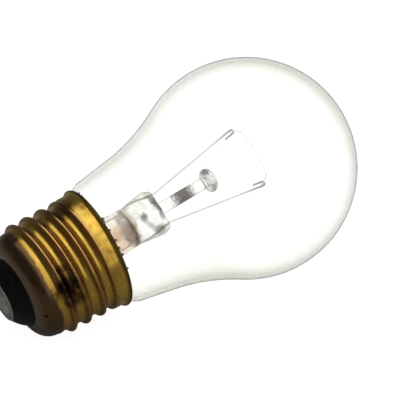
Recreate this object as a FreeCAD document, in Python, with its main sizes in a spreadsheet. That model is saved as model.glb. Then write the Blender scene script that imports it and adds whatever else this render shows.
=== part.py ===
import FreeCAD, Part
import math
import os

import Sketcher

# A clear incandescent bulb, 48 mm across the crown, with a 26 mm screw base. It lies on its side: the crown and
# one thread crest touch the surface below. Each piece is drawn about the lamp's own axis, with 0 at the tip of
# the centre contact and the crown at the far end, and the whole lamp is then laid down.

TURN = 360.0
HALF_TURN = 180.0
QUARTER_TURN = 90.0

# Driving sizes, in millimetres and degrees.
SIZES = {
    # blown glass
    "overall_length": 87.0,
    "crown_radius": 24.2,
    "flank_radius": 45.0,
    "neck_radius": 14.431,
    "neck_flare_share": 0.5927,
    "neck_height": 3.0,
    "neck_turn_radius": 4.0,
    "neck_turn_angle": 45.0,
    "neck_root_radius": 4.0,
    "neck_end_radius": 11.1,
    "neck_end_depth": 9.4,
    "glass_wall": 0.7,
    # rolled screw shell
    "rim_height": 25.2,
    "rim_bead_radius": 13.85,
    "rim_bead_length": 1.85,
    "rim_bead_peak": 0.6,
    "rim_edge_radius": 13.45,
    "band_radius": 13.2,
    "thread_root_radius": 12.15,
    "thread_pitch": 3.629,
    "thread_crest_share": 0.28,
    "thread_phase": -5.95,
    "thread_fade_depth": 3.2,
    "thread_fade_length": 1.2,
    "thread_runout_depth": 17.12,
    "thread_runout_length": 1.7,
    "shoulder_radius": 4.0,
    "shoulder_depth": 17.0,
    "shell_wall": 0.3,
    # insulator, contact and solder
    "fit_gap": 0.06,
    "insulator_face_height": 0.95,
    "insulator_face_radius": 5.3,
    "insulator_bulge_radius": 9.0,
    "insulator_top_height": 8.8,
    "insulator_dish_radius": 5.0,
    "insulator_dish_depth": 1.6,
    "insulator_hole_radius": 1.4,
    "contact_radius": 5.05,
    "contact_thickness": 0.4,
    "contact_collar_height": 4.2,
    "contact_collar_wall": 0.35,
    "contact_solder_radius": 3.4,
    "contact_solder_fill": 2.0,
    "shell_solder_length": 1.5,
    "shell_solder_width": 1.7,
    "shell_solder_height": 0.95,
    # basing cement
    "cement_drop": 0.16,
    "cement_length": 5.0,
    "cement_slot_angle": 8.0,
    # glass stem
    "mount_turn": 137.2,
    "mount_lean": 2.3,
    "seal_gap": 0.15,
    "flare_angle": 70.0,
    "flare_radius": 4.5,
    "stem_foot_radius": 5.0,
    "stem_top_radius": 4.4,
    "stem_wall": 0.6,
    "stem_top_height": 33.6,
    "bore_roof": 0.6,
    "press_height": 7.6,
    "press_waist_share": 0.35,
    "press_half_width": 5.2,
    "press_half_thickness": 1.95,
    "press_crown_height": 1.6,
    "press_crown_inset": 0.75,
    "press_rounding": 0.4,
    "exhaust_radius": 1.6,
    "exhaust_wall": 0.5,
    "exhaust_tip_height": 12.8,
    # arbor and button
    "arbor_radius": 1.38,
    "arbor_length": 11.6,
    "button_radius": 2.75,
    "button_thickness": 2.5,
    # wires
    "lead_spacing": 7.0,
    "lead_radius": 0.22,
    "lead_rise": 0.6,
    "lead_angle": 8.97,
    "lead_length": 23.02,
    "clamp_radius": 0.45,
    "clamp_length": 2.6,
    "seal_wire_radius": 0.2,
    "outer_lead_radius": 0.2,
    "support_radius": 0.06,
    "support_rise": 0.4,
    "support_reach": 1.5,
    "support_eye_radius": 0.3,
    "filament_radius": 0.12,
    "filament_circle_radius": 7.7,
    "filament_tail": 1.3,
    # bends of the wires
    "lead_bend": 2.0,
    "support_bend": 0.6,
    "filament_bend": 0.8,
    "outer_bend": 3.0,
    "entry_bend": 1.0,
    "slot_bend": 2.0,
    "hook_bend": 0.35,
    "end_bend": 1.5,
    # way of the contact lead
    "contact_lead_turn": 1.5,
    "contact_lead_entry": 0.6,
    # way of the shell lead, from the stem's mouth up to the rim
    "shell_lead_leave": 2.0,
    "shell_lead_drop": 2.4,
    "shell_lead_rise": 1.4,
    "shell_lead_inside": 0.7,
    "shell_lead_clearance": 0.32,
    "shell_lead_end": 0.6,
    "shell_solder_drop": 0.5,
    "shell_solder_sink": 0.25,
}

# Sizes that follow from the driving ones. A point of an outline has one cell across and one cell up.
WORKED_OUT = {
    "crown_centre": "overall_length - crown_radius",
    "cone_foot_across": "neck_radius",
    "cone_foot_up": "rim_height + neck_height",
    "crown_rise": "crown_centre - cone_foot_up",
    "neck_half_angle": "atan(neck_flare_share * (crown_radius - neck_radius) / crown_rise) / 1 deg",
    # the flank's arc touches the cone and the crown; its radius is cut to what lies between them
    "flank_room": "crown_radius - neck_radius * cos(neck_half_angle) - crown_rise * sin(neck_half_angle)",
    "flank_limit": "(neck_radius ^ 2 + crown_rise ^ 2 - crown_radius ^ 2) / (2 * flank_room)",
    "flank_arc_radius": "min(flank_radius; 0.95 * flank_limit)",
    "cone_back": "crown_rise * cos(neck_half_angle) - neck_radius * sin(neck_half_angle)",
    "cone_aside": "crown_rise * sin(neck_half_angle) + neck_radius * cos(neck_half_angle) + flank_arc_radius",
    "cone_length": "cone_back - sqrt((crown_radius + flank_arc_radius) ^ 2 - cone_aside ^ 2)",
    "cone_top_across": "neck_radius + cone_length * sin(neck_half_angle)",
    "cone_top_up": "cone_foot_up + cone_length * cos(neck_half_angle)",
    "flank_centre_across": "cone_top_across + flank_arc_radius * cos(neck_half_angle)",
    "flank_centre_up": "cone_top_up - flank_arc_radius * sin(neck_half_angle)",
    "join_share": "crown_radius / (crown_radius + flank_arc_radius)",
    "join_across": "flank_centre_across * join_share",
    "join_up": "crown_centre + (flank_centre_up - crown_centre) * join_share",
    "crown_join_angle": "90 + atan((crown_centre - join_up) / join_across) / 1 deg",
    "turn_across": "cone_foot_across - neck_turn_radius * (cos(neck_half_angle) - cos(neck_turn_angle))",
    "turn_up": "cone_foot_up - neck_turn_radius * (sin(neck_turn_angle) - sin(neck_half_angle))",
    "slope_across": "neck_end_radius + neck_root_radius * (1 - cos(neck_turn_angle))",
    "slope_up": "turn_up - (turn_across - slope_across) / tan(neck_turn_angle)",
    "root_across": "neck_end_radius",
    "root_up": "slope_up - neck_root_radius * sin(neck_turn_angle)",
    "end_across": "neck_end_radius",
    "end_up": "rim_height - neck_end_depth",
    "crown_inner_radius": "crown_radius - glass_wall",
    "flank_inner_radius": "flank_arc_radius + glass_wall",
    "turn_inner_radius": "neck_turn_radius - glass_wall",
    "root_inner_radius": "neck_root_radius + glass_wall",
    "crown_inner_top": "overall_length - glass_wall",
    "neck_bore_radius": "neck_end_radius - glass_wall",
    "shell_bore_radius": "thread_root_radius - shell_wall",
    "band_bore_radius": "band_radius - shell_wall",
    "shoulder_centre_across": "thread_root_radius - shoulder_radius",
    "shoulder_centre_up": "rim_height - shoulder_depth",
    "seat_arc_radius": "shoulder_radius - shell_wall - fit_gap",
    "seat_across": "shoulder_centre_across + seat_arc_radius",
    "throat_across": "shoulder_centre_across - fit_gap",
    "throat_top": "shoulder_centre_up - seat_arc_radius",
    "throat_bottom": "shoulder_centre_up - shoulder_radius",
    "insulator_dish_up": "insulator_top_height - insulator_dish_depth",
    "contact_bottom": "insulator_face_height - contact_thickness",
    "collar_outer_radius": "insulator_hole_radius - fit_gap",
    "collar_inner_radius": "collar_outer_radius - contact_collar_wall",
    "contact_edge_across": "contact_radius - contact_thickness / 2",
    "contact_edge_radius": "contact_thickness / 2",
    "contact_middle": "insulator_face_height - contact_thickness / 2",
    "contact_dome_radius": "(contact_solder_radius ^ 2 + contact_bottom ^ 2) / (2 * contact_bottom)",
    "contact_solder_tip": "contact_dome_radius - sqrt(contact_dome_radius ^ 2 - outer_lead_radius ^ 2)",
    "cement_top_up": "root_up - cement_drop",
    "cement_bottom_up": "cement_top_up - cement_length",
    "cement_inner_radius": "neck_end_radius + fit_gap",
    "cement_outer_radius": "shell_bore_radius - fit_gap",
    "cement_angle": "360 - cement_slot_angle",
    "flare_rim_radius": "neck_bore_radius - seal_gap",
    "flare_turn_across": "stem_foot_radius + flare_radius * (1 - cos(flare_angle))",
    "flare_rim_up": "end_up + stem_wall",
    "flare_turn_up": "flare_rim_up + (flare_rim_radius - flare_turn_across) / tan(flare_angle)",
    "flare_top_up": "flare_turn_up + flare_radius * sin(flare_angle)",
    "flare_inner_radius": "flare_radius + stem_wall",
    "flare_turn_inner_across": "flare_turn_across - stem_wall * cos(flare_angle)",
    "flare_turn_inner_up": "flare_turn_up - stem_wall * sin(flare_angle)",
    "flare_rim_inner_across": "flare_rim_radius - stem_wall * cos(flare_angle)",
    "flare_rim_inner_up": "flare_rim_up - stem_wall * sin(flare_angle)",
    "stem_foot_bore": "stem_foot_radius - stem_wall",
    "stem_top_bore": "stem_top_radius - stem_wall",
    "bore_top": "stem_top_height - bore_roof",
    "press_top": "stem_top_height + press_height",
    "press_waist_up": "stem_top_height + press_height * press_waist_share",
    "press_crown_up": "press_top - press_crown_height",
    "press_top_half_width": "press_half_width - press_crown_inset",
    "press_top_half": "press_half_thickness - press_crown_inset",
    "press_foot_half_width": "stem_top_radius - fit_gap",
    "press_foot_half": "stem_top_radius - 2 * fit_gap",
    "press_waist_half_width": "(stem_top_radius + press_half_width) / 2",
    "press_waist_half": "(stem_top_radius + press_half_thickness) / 2",
    "exhaust_bore": "exhaust_radius - exhaust_wall",
    "exhaust_bore_end": "exhaust_tip_height + exhaust_radius + exhaust_wall",
    "exhaust_round_up": "exhaust_tip_height + exhaust_radius",
    "button_bottom": "press_top + arbor_length",
    "button_top": "button_bottom + button_thickness",
    "button_round": "button_thickness / 2",
    "button_flat_across": "button_radius - button_round",
    "button_middle": "button_bottom + button_round",
    "lead_across": "lead_spacing / 2",
}
# Each corner of the glass outline with the slope of the wall there, from which the inner corner follows.
GLASS_CORNERS = {
    "join": "crown_join_angle - 90",
    "cone_top": "neck_half_angle",
    "cone_foot": "neck_half_angle",
    "turn": "neck_turn_angle",
    "slope": "neck_turn_angle",
    "root": "0",
}
SUPPORT_ANGLES = (45.0, 90.0, 135.0)
SHELL_LEAD_ANGLE = -90.0
# Two points under the neck where the shell lead swings over to its side: shares of its distance from the axis
# in the press, across and to the side, and of its drop.
SHELL_LEAD_SWING = ((0.7, -1.3, 0.5), (0.2, -2.6, 1.0))
# The bend of the shell lead at each inner point of its way.
SHELL_LEAD_BENDS = (
    "outer_bend", "outer_bend", "outer_bend", "entry_bend", "slot_bend", "slot_bend", "slot_bend",
    "hook_bend", "hook_bend", "end_bend",
)
# Points of the shell's surface: round the axis, over the shoulder, up the thread and over the bead.
ROUND_STEPS = 40
SHOULDER_STEPS = 14
THREAD_STEPS = 68
BEAD_STEPS = 8
# How much of a quarter circle the rim's rounding takes, so that the surface never turns square to the axis.
ROUNDING_SHARE = 0.98

doc = FreeCAD.newDocument("bulb")
sheet = doc.addObject("Spreadsheet::Sheet", "Sizes")
parts = []
numbers = {}
drawn_in = {}


def fill_sheet():
    """Write the driving sizes as plain numbers and the sizes that follow as formulas, one alias a row."""
    rows = {name: str(number) for name, number in SIZES.items()}
    rows.update({name: "=" + formula for name, formula in WORKED_OUT.items()})
    for corner, slope in GLASS_CORNERS.items():
        rows[corner + "_inner_across"] = f"={corner}_across - glass_wall * cos({slope})"
        rows[corner + "_inner_up"] = f"={corner}_up + glass_wall * sin({slope})"
    for row, (name, content) in enumerate(rows.items(), start=1):
        sheet.set(f"A{row}", name)
        sheet.set(f"B{row}", content)
        sheet.setAlias(f"B{row}", name)
    doc.recompute()
    for name in rows:
        numbers[name] = float(sheet.get(name))


def size(name):
    """The number in a cell of the sheet."""
    return numbers[name]


def bound(name):
    """The expression that ties a property to a cell."""
    return "Sizes." + name


def add_part(kind, label, frame, own=None):
    """A named piece and its frame: lamp, upright (turned with the mount) or mount (turned and leaning)."""
    part = doc.addObject(kind, label.title().replace("_", ""))
    part.Label = label
    parts.append(part)
    drawn_in[label] = (frame, own or FreeCAD.Placement())
    return part


def new_body(label, frame, own=None):
    return add_part("PartDesign::Body", label, frame, own)


def new_feature(label, shape, frame, own=None):
    feature = add_part("Part::Feature", label, frame, own)
    feature.Shape = shape
    return feature


def turned(angle):
    """A placement that only turns about the axis."""
    return FreeCAD.Placement(FreeCAD.Vector(), FreeCAD.Rotation(FreeCAD.Vector(0, 0, 1), angle))


def origin_plane(body, role):
    return next(item for item in body.Origin.OriginFeatures if item.Role == role)


def new_sketch(body, name, role):
    sketch = body.newObject("Sketcher::SketchObject", name)
    sketch.AttachmentSupport = [(origin_plane(body, role), "")]
    sketch.MapMode = "FlatFace"
    return sketch


def fix_point(sketch, line, end, across, up):
    """Hold one end of a line at a point whose two distances are cells; None puts it on the axis."""
    if across is None:
        sketch.addConstraint(Sketcher.Constraint("PointOnObject", line, end, -2))
    else:
        index = sketch.addConstraint(Sketcher.Constraint("DistanceX", -1, 1, line, end, size(across)))
        sketch.setExpression(f"Constraints[{index}]", bound(across))
    index = sketch.addConstraint(Sketcher.Constraint("DistanceY", -1, 1, line, end, size(up)))
    sketch.setExpression(f"Constraints[{index}]", bound(up))


def arc_between(start, end, radius, turn):
    """The short arc from start to end that turns left (turn 1) or right (turn -1)."""
    chord = end - start
    left = FreeCAD.Vector(-chord.y, chord.x, 0).normalize()
    rise = math.sqrt(max(radius ** 2 - (chord.Length / 2) ** 2, 0.0))
    centre = (start + end) * 0.5 + left * rise * turn
    first, last = (start, end) if turn > 0 else (end, start)
    angles = [math.atan2(p.y - centre.y, p.x - centre.x) for p in (first, last)]
    circle = Part.Circle(centre, FreeCAD.Vector(0, 0, 1), radius)
    return Part.ArcOfCircle(circle, angles[0], angles[1])


def outline(body, name, corners):
    """A closed outline in the plane through the axis. A corner is (across, up), reached by a straight line, or
    (across, up, radius, turn), reached by an arc. Every distance and radius is bound to its cell."""
    sketch = new_sketch(body, name, "XZ_Plane")
    points = [FreeCAD.Vector(size(c[0]) if c[0] else 0.0, size(c[1]), 0) for c in corners]
    ends = []
    for index, corner in enumerate(corners):
        start, end = points[index - 1], points[index]
        if len(corner) == 2:
            edge = sketch.addGeometry(Part.LineSegment(start, end))
            ends.append((edge, 1, 2))
        else:
            edge = sketch.addGeometry(arc_between(start, end, size(corner[2]), corner[3]))
            ends.append((edge, 1, 2) if corner[3] > 0 else (edge, 2, 1))
    for index, corner in enumerate(corners):
        edge, _, last = ends[index]
        following, first, _ = ends[(index + 1) % len(corners)]
        sketch.addConstraint(Sketcher.Constraint("Coincident", edge, last, following, first))
        fix_point(sketch, edge, last, corner[0], corner[1])
        if len(corner) > 2:
            held = sketch.addConstraint(Sketcher.Constraint("Radius", edge, size(corner[2])))
            sketch.setExpression(f"Constraints[{held}]", bound(corner[2]))
    return sketch


def revolve(body, name, corners, angle=None):
    """Turn an outline about the axis, all the way round or through the angle in a cell."""
    feature = body.newObject("PartDesign::Revolution", name)
    feature.Profile = outline(body, name + "Outline", corners)
    feature.ReferenceAxis = (feature.Profile[0], ["V_Axis"])
    feature.Angle = TURN
    if angle:
        feature.Midplane = True
        feature.setExpression("Angle", bound(angle))
    body.Tip = feature
    return feature


def stadium(body, name, half_width, half_thickness, up):
    """A slot shape across the axis at a height: two half circles joined by straight sides."""
    sketch = new_sketch(body, name, "XY_Plane")
    sketch.setExpression(".AttachmentOffset.Base.z", bound(up))
    radius = size(half_thickness)
    reach = size(half_width) - radius
    upward = FreeCAD.Vector(0, 0, 1)
    for side in (1, -1):
        circle = Part.Circle(FreeCAD.Vector(side * reach, 0, 0), upward, radius)
        start = -math.pi / 2 if side > 0 else math.pi / 2
        sketch.addGeometry(Part.ArcOfCircle(circle, start, start + math.pi))
    for side in (1, -1):
        start = FreeCAD.Vector(side * reach, side * radius, 0)
        sketch.addGeometry(Part.LineSegment(start, FreeCAD.Vector(-side * reach, side * radius, 0)))
    right, left, upper, lower = range(4)
    for first, last in (((right, 2), (upper, 1)), ((upper, 2), (left, 1)), ((left, 2), (lower, 1)),
                        ((lower, 2), (right, 1))):
        sketch.addConstraint(Sketcher.Constraint("Coincident", *first, *last))
    for side, edge in ((1, right), (-1, left)):
        sketch.addConstraint(Sketcher.Constraint("PointOnObject", edge, 3, -1))
        held = sketch.addConstraint(Sketcher.Constraint("DistanceX", -1, 1, edge, 3, side * reach))
        formula = f"{side} * ({bound(half_width)} - {bound(half_thickness)})"
        sketch.setExpression(f"Constraints[{held}]", formula)
        held = sketch.addConstraint(Sketcher.Constraint("Radius", edge, radius))
        sketch.setExpression(f"Constraints[{held}]", bound(half_thickness))
        for end in (1, 2):
            sketch.addConstraint(Sketcher.Constraint("Vertical", edge, 3, edge, end))
    return sketch


def wire_path(points, bends):
    """Straight runs joined by tangent arcs: a bend radius for each inner point, cut to what its runs allow."""
    edges = []
    last = points[0]
    for index, bend in enumerate(bends, start=1):
        here = points[index]
        back = (points[index - 1] - here).normalize()
        ahead = (points[index + 1] - here).normalize()
        half = back.getAngle(ahead) / 2
        room = min((points[index - 1] - here).Length / (2 if index > 1 else 1),
                   (points[index + 1] - here).Length / (2 if index < len(bends) else 1))
        reach = min(bend / math.tan(half), room * 0.999)
        radius = reach * math.tan(half)
        middle = (back + ahead).normalize()
        centre = here + middle * (radius / math.sin(half))
        start, end = here + back * reach, here + ahead * reach
        if (start - last).Length > 1e-6:
            edges.append(Part.LineSegment(last, start).toShape())
        edges.append(Part.Arc(start, centre - middle * radius, end).toShape())
        last = end
    edges.append(Part.LineSegment(last, points[-1]).toShape())
    return Part.Wire(edges)


def bent_wire(label, points, bends, radius, frame, own=None):
    """A round wire along a path, square to it at both ends."""
    path = wire_path(points, bends)
    ring = Part.Circle(points[0], points[1] - points[0], radius)
    section = Part.Wire([ring.toShape()])
    return new_feature(label, path.makePipeShell([section], True, False), frame, own)


def smooth(share):
    """A soft step from 0 to 1, level at both ends."""
    share = min(max(share, 0.0), 1.0)
    return share * share * (3 - 2 * share)


def knuckle(share):
    """How deep the rolled groove is at a share of one pitch from the crest, from 0 to 1: a narrow round crest and
    a wide round root, two arcs that meet at one slope."""
    depth = size("band_radius") - size("thread_root_radius")
    half = size("thread_pitch") / 2
    slope = 2 * math.atan(depth / half)
    crest = half * size("thread_crest_share")
    offset = abs(share - round(share)) * size("thread_pitch")
    if offset <= crest:
        radius = crest / math.sin(slope)
        return (radius - math.sqrt(radius ** 2 - offset ** 2)) / depth
    radius = (half - crest) / math.sin(slope)
    return 1 - (radius - math.sqrt(radius ** 2 - (half - offset) ** 2)) / depth


def shell_point(angle, share):
    """The outer face of the screw shell at an angle round the axis. The share runs from 0 at the lip over the
    shoulder (to 1), up the thread (to 2) and over the rolled bead to the rim (to 3)."""
    rim = size("rim_height")
    root = size("thread_root_radius")
    if share <= 1:
        tilt = (1 - share) * math.pi / 2
        radius = size("shoulder_centre_across") + size("shoulder_radius") * math.cos(tilt)
        height = size("shoulder_centre_up") - size("shoulder_radius") * math.sin(tilt)
    elif share <= 2:
        low, high = size("shoulder_centre_up"), rim - size("rim_bead_length")
        height = low + (high - low) * (share - 1)
        below = rim - height
        turns = (-below - size("thread_phase")) / size("thread_pitch") - angle / TURN
        start = smooth((below - size("thread_fade_depth")) / size("thread_fade_length"))
        finish = smooth((size("thread_runout_depth") - below) / size("thread_runout_length"))
        depth = size("band_radius") - root
        radius = root + depth * (1 - start * knuckle(turns)) * finish
    else:
        reach = share - 2
        height = rim - size("rim_bead_length") * (1 - reach)
        peak = size("rim_bead_peak")
        swell = math.sin(min(reach / peak, 1.0) * math.pi / 2) ** 2
        radius = size("band_radius") + (size("rim_bead_radius") - size("band_radius")) * swell
        fall = max((reach - peak) / (1 - peak), 0.0)
        drop = size("rim_bead_radius") - size("rim_edge_radius")
        radius -= drop * (1 - math.sqrt(1 - ROUNDING_SHARE * fall ** 2))
    around = math.radians(angle)
    return FreeCAD.Vector(radius * math.cos(around), radius * math.sin(around), height)


def shell_normal(angle, share):
    """The outward direction of that face, from two small steps over it."""
    step = 0.01
    around = shell_point(angle + step, share) - shell_point(angle - step, share)
    low, high = max(share - step / 4, 0.0), min(share + step / 4, 3.0)
    along = shell_point(angle, high) - shell_point(angle, low)
    return around.cross(along).normalize()


def shell_face(depth):
    """The face of the shell at a depth under its outer face, as one smooth surface through points on it."""
    angles = [TURN * k / ROUND_STEPS for k in range(ROUND_STEPS + 1)]
    stations = [k / SHOULDER_STEPS for k in range(SHOULDER_STEPS)]
    stations += [1 + k / THREAD_STEPS for k in range(THREAD_STEPS)]
    stations += [2 + k / BEAD_STEPS for k in range(BEAD_STEPS + 1)]
    grid = []
    for angle in angles:
        row = []
        for share in stations:
            point = shell_point(angle % TURN, share)
            row.append(point - shell_normal(angle % TURN, share) * depth)
        grid.append(row)
    surface = Part.BSplineSurface()
    surface.interpolate(grid)
    return surface.toShape()


def shell_solid(faces):
    """A solid from the given faces of revolution, closed by a flat ring or disc at each end."""
    loops = [[], []]
    for face in faces:
        rings = sorted((edge for edge in face.Edges if edge.isClosed()), key=lambda edge: edge.CenterOfMass.z)
        loops[0].append(rings[0])
        loops[1].append(rings[-1])
    ends = []
    for pair in loops:
        wires = [Part.Wire([edge]) for edge in pair]
        if len(wires) == 1:
            ends.append(Part.Face(wires[0]))
        else:
            ends.append(Part.makeRuledSurface(pair[0], pair[1]))
    shell = Part.makeShell(list(faces) + ends)
    shell.sewShape()
    solid = Part.Solid(shell.Shells[0] if shell.Shells else shell)
    if solid.Volume < 0:
        solid.reverse()
    return solid


def build_envelope():
    """Blown glass: a round crown, a hollow flank, a slightly coned neck and a narrow end inside the shell."""
    body = new_body("glass_envelope", "lamp")
    outer = [
        ("end_across", "end_up"),
        ("root_across", "root_up"),
        ("slope_across", "slope_up", "neck_root_radius", -1),
        ("turn_across", "turn_up"),
        ("cone_foot_across", "cone_foot_up", "neck_turn_radius", 1),
        ("cone_top_across", "cone_top_up"),
        ("join_across", "join_up", "flank_arc_radius", -1),
        (None, "overall_length", "crown_radius", 1),
    ]
    inner = [
        (None, "crown_inner_top"),
        ("join_inner_across", "join_inner_up", "crown_inner_radius", -1),
        ("cone_top_inner_across", "cone_top_inner_up", "flank_inner_radius", 1),
        ("cone_foot_inner_across", "cone_foot_inner_up"),
        ("turn_inner_across", "turn_inner_up", "turn_inner_radius", -1),
        ("slope_inner_across", "slope_inner_up"),
        ("root_inner_across", "root_inner_up", "root_inner_radius", 1),
        ("neck_bore_radius", "end_up"),
    ]
    revolve(body, "Blown", outer + inner)
    return body


def build_stem():
    """Glass stem: a flare sealed to the neck, a tube, and a flat press round the two seal wires."""
    body = new_body("glass_stem", "mount")
    revolve(body, "Flare", [
        ("stem_top_radius", "stem_top_height"),
        (None, "stem_top_height"),
        (None, "bore_top"),
        ("stem_top_bore", "bore_top"),
        ("stem_foot_bore", "flare_top_up"),
        ("flare_turn_inner_across", "flare_turn_inner_up", "flare_inner_radius", 1),
        ("flare_rim_inner_across", "flare_rim_inner_up"),
        ("flare_rim_radius", "flare_rim_up"),
        ("flare_turn_across", "flare_turn_up"),
        ("stem_foot_radius", "flare_top_up", "flare_radius", -1),
    ])
    doc.recompute()
    press = body.newObject("PartDesign::AdditiveLoft", "Press")
    press.Profile = stadium(body, "PressFoot", "press_foot_half_width", "press_foot_half", "stem_top_height")
    press.Sections = [
        stadium(body, "PressWaist", "press_waist_half_width", "press_waist_half", "press_waist_up"),
        stadium(body, "PressShoulder", "press_half_width", "press_half_thickness", "press_crown_up"),
    ]
    press.Ruled = False
    doc.recompute()
    crown = body.newObject("PartDesign::AdditiveLoft", "PressCrown")
    crown.Profile = stadium(body, "CrownFoot", "press_half_width", "press_half_thickness", "press_crown_up")
    crown.Sections = [stadium(body, "CrownTop", "press_top_half_width", "press_top_half", "press_top")]
    crown.Ruled = True
    body.Tip = crown
    doc.recompute()
    top = [f"Edge{k}" for k, edge in enumerate(crown.Shape.Edges, start=1)
           if edge.BoundBox.ZMin > size("press_top") - 1e-4]
    rounding = body.newObject("PartDesign::Fillet", "PressRounding")
    rounding.Base = (crown, top)
    rounding.setExpression("Radius", bound("press_rounding"))
    body.Tip = rounding
    doc.recompute()
    holes = body.newObject("PartDesign::Pocket", "SealHoles")
    circles = new_sketch(body, "SealCircles", "XY_Plane")
    circles.setExpression(".AttachmentOffset.Base.z", bound("press_top"))
    for side in (1, -1):
        centre = FreeCAD.Vector(side * size("lead_across"), 0, 0)
        ring = circles.addGeometry(Part.Circle(centre, FreeCAD.Vector(0, 0, 1), size("seal_wire_radius")))
        circles.addConstraint(Sketcher.Constraint("PointOnObject", ring, 3, -1))
        held = circles.addConstraint(Sketcher.Constraint("DistanceX", -1, 1, ring, 3, centre.x))
        circles.setExpression(f"Constraints[{held}]", f"{side} * {bound('lead_across')}")
        held = circles.addConstraint(Sketcher.Constraint("Radius", ring, size("seal_wire_radius")))
        circles.setExpression(f"Constraints[{held}]", bound("seal_wire_radius"))
    holes.Profile = circles
    holes.setExpression("Length", f"{bound('press_height')} + {bound('bore_roof')} + {bound('fit_gap')}")
    body.Tip = holes
    return body


def build_exhaust():
    """The thin tube through which the bulb was pumped, fused to the press above and tipped off below."""
    body = new_body("exhaust_tube", "mount")
    revolve(body, "Tube", [
        ("exhaust_radius", "bore_top"),
        ("exhaust_bore", "bore_top"),
        ("exhaust_bore", "exhaust_bore_end"),
        (None, "exhaust_bore_end"),
        (None, "exhaust_tip_height"),
        ("exhaust_radius", "exhaust_round_up", "exhaust_radius", 1),
    ])
    return body


def build_arbor():
    """Glass rod with a flattened button at its end, which holds the support wires."""
    body = new_body("arbor_rod", "mount")
    revolve(body, "Rod", [
        (None, "press_top"),
        ("arbor_radius", "press_top"),
        ("arbor_radius", "button_bottom"),
        ("button_flat_across", "button_bottom"),
        ("button_radius", "button_middle", "button_round", 1),
        ("button_flat_across", "button_top", "button_round", 1),
        (None, "button_top"),
    ])
    return body


def build_insulator():
    """Black glass poured into the end of the shell: a cone outside the lip, a dish and a wire hole inside."""
    body = new_body("insulator", "lamp")
    revolve(body, "Poured", [
        ("insulator_hole_radius", "insulator_face_height"),
        ("insulator_face_radius", "insulator_face_height"),
        ("throat_across", "throat_bottom", "insulator_bulge_radius", 1),
        ("throat_across", "throat_top"),
        ("shoulder_centre_across", "throat_top"),
        ("seat_across", "shoulder_centre_up", "seat_arc_radius", 1),
        ("seat_across", "insulator_top_height"),
        ("insulator_dish_radius", "insulator_dish_up"),
        ("insulator_hole_radius", "insulator_dish_up"),
    ])
    return body


def build_contact():
    """Pressed metal disc with a rolled edge and a collar that runs up the wire hole."""
    body = new_body("centre_contact", "lamp")
    revolve(body, "Disc", [
        ("collar_inner_radius", "contact_bottom"),
        ("contact_edge_across", "contact_bottom"),
        ("contact_radius", "contact_middle", "contact_edge_radius", 1),
        ("contact_edge_across", "insulator_face_height", "contact_edge_radius", 1),
        ("collar_outer_radius", "insulator_face_height"),
        ("collar_outer_radius", "contact_collar_height"),
        ("collar_inner_radius", "contact_collar_height"),
    ])
    return body


def build_contact_solder():
    """A low dome of solder over the middle of the disc, round the end of the contact lead."""
    body = new_body("contact_solder", "lamp")
    revolve(body, "Dome", [
        ("outer_lead_radius", "contact_solder_tip"),
        ("contact_solder_radius", "contact_bottom", "contact_dome_radius", 1),
        ("collar_inner_radius", "contact_bottom"),
        ("collar_inner_radius", "contact_solder_fill"),
        ("outer_lead_radius", "contact_solder_fill"),
    ])
    return body


def build_cement():
    """Basing cement between the neck and the shell, open where the shell lead runs up through it."""
    slot = turned(size("mount_turn") + SHELL_LEAD_ANGLE + HALF_TURN)
    body = new_body("basing_cement", "lamp", slot)
    revolve(body, "Ring", [
        ("cement_inner_radius", "cement_bottom_up"),
        ("cement_outer_radius", "cement_bottom_up"),
        ("cement_outer_radius", "cement_top_up"),
        ("cement_inner_radius", "cement_top_up"),
    ], "cement_angle")
    return body


def build_seal_wires():
    """The two straight stretches of wire that the press is sealed round."""
    for side, name in ((1, "a"), (-1, "b")):
        foot = FreeCAD.Vector(side * size("lead_across"), 0, size("bore_top"))
        own = FreeCAD.Placement(foot, FreeCAD.Rotation())
        wire = add_part("Part::Cylinder", "seal_wire_" + name, "mount", own)
        wire.setExpression("Radius", bound("seal_wire_radius"))
        wire.setExpression("Height", f"{bound('press_top')} - {bound('bore_top')}")


def lead_points(side):
    """The path of an inner lead: up out of the press, outward, then folded back on itself as a clamp. The
    second value is the middle of the fold, where the filament is held."""
    tilt = math.radians(size("lead_angle"))
    along = FreeCAD.Vector(side * math.sin(tilt), 0, math.cos(tilt))
    inward = FreeCAD.Vector(-side * math.cos(tilt), 0, math.sin(tilt))
    foot = FreeCAD.Vector(side * size("lead_across"), 0, size("press_top"))
    knee = foot + FreeCAD.Vector(0, 0, size("lead_rise"))
    tip = knee + along * size("lead_length")
    back = tip + inward * (2 * size("clamp_radius"))
    end = back - along * size("clamp_length")
    held = tip + (inward - along) * size("clamp_radius")
    return [foot, knee, tip, back, end], held


def build_leads():
    """The two inner leads, which spread from the press and end in a fold round the filament."""
    for side, name in ((1, "a"), (-1, "b")):
        points, _ = lead_points(side)
        bends = [size("lead_bend"), size("clamp_radius"), size("clamp_radius")]
        bent_wire("inner_lead_" + name, points, bends, size("lead_radius"), "mount")


def ring_point(angle, up):
    """A point of the circle that the filament is strung round."""
    around = math.radians(angle)
    reach = size("filament_circle_radius")
    return FreeCAD.Vector(reach * math.cos(around), reach * math.sin(around), up)


def build_filament():
    """The coil as one slim rod of its outer size, strung from clamp to clamp through the supports' eyes."""
    tail = FreeCAD.Vector(0, size("filament_tail"), 0)
    start, finish = lead_points(1)[1], lead_points(-1)[1]
    points = [start - tail, start + tail]
    points += [ring_point(angle, start.z) for angle in SUPPORT_ANGLES]
    points += [finish + tail, finish - tail]
    bends = [size("filament_bend")] * (len(points) - 2)
    bent_wire("filament", points, bends, size("filament_radius"), "mount")


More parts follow.
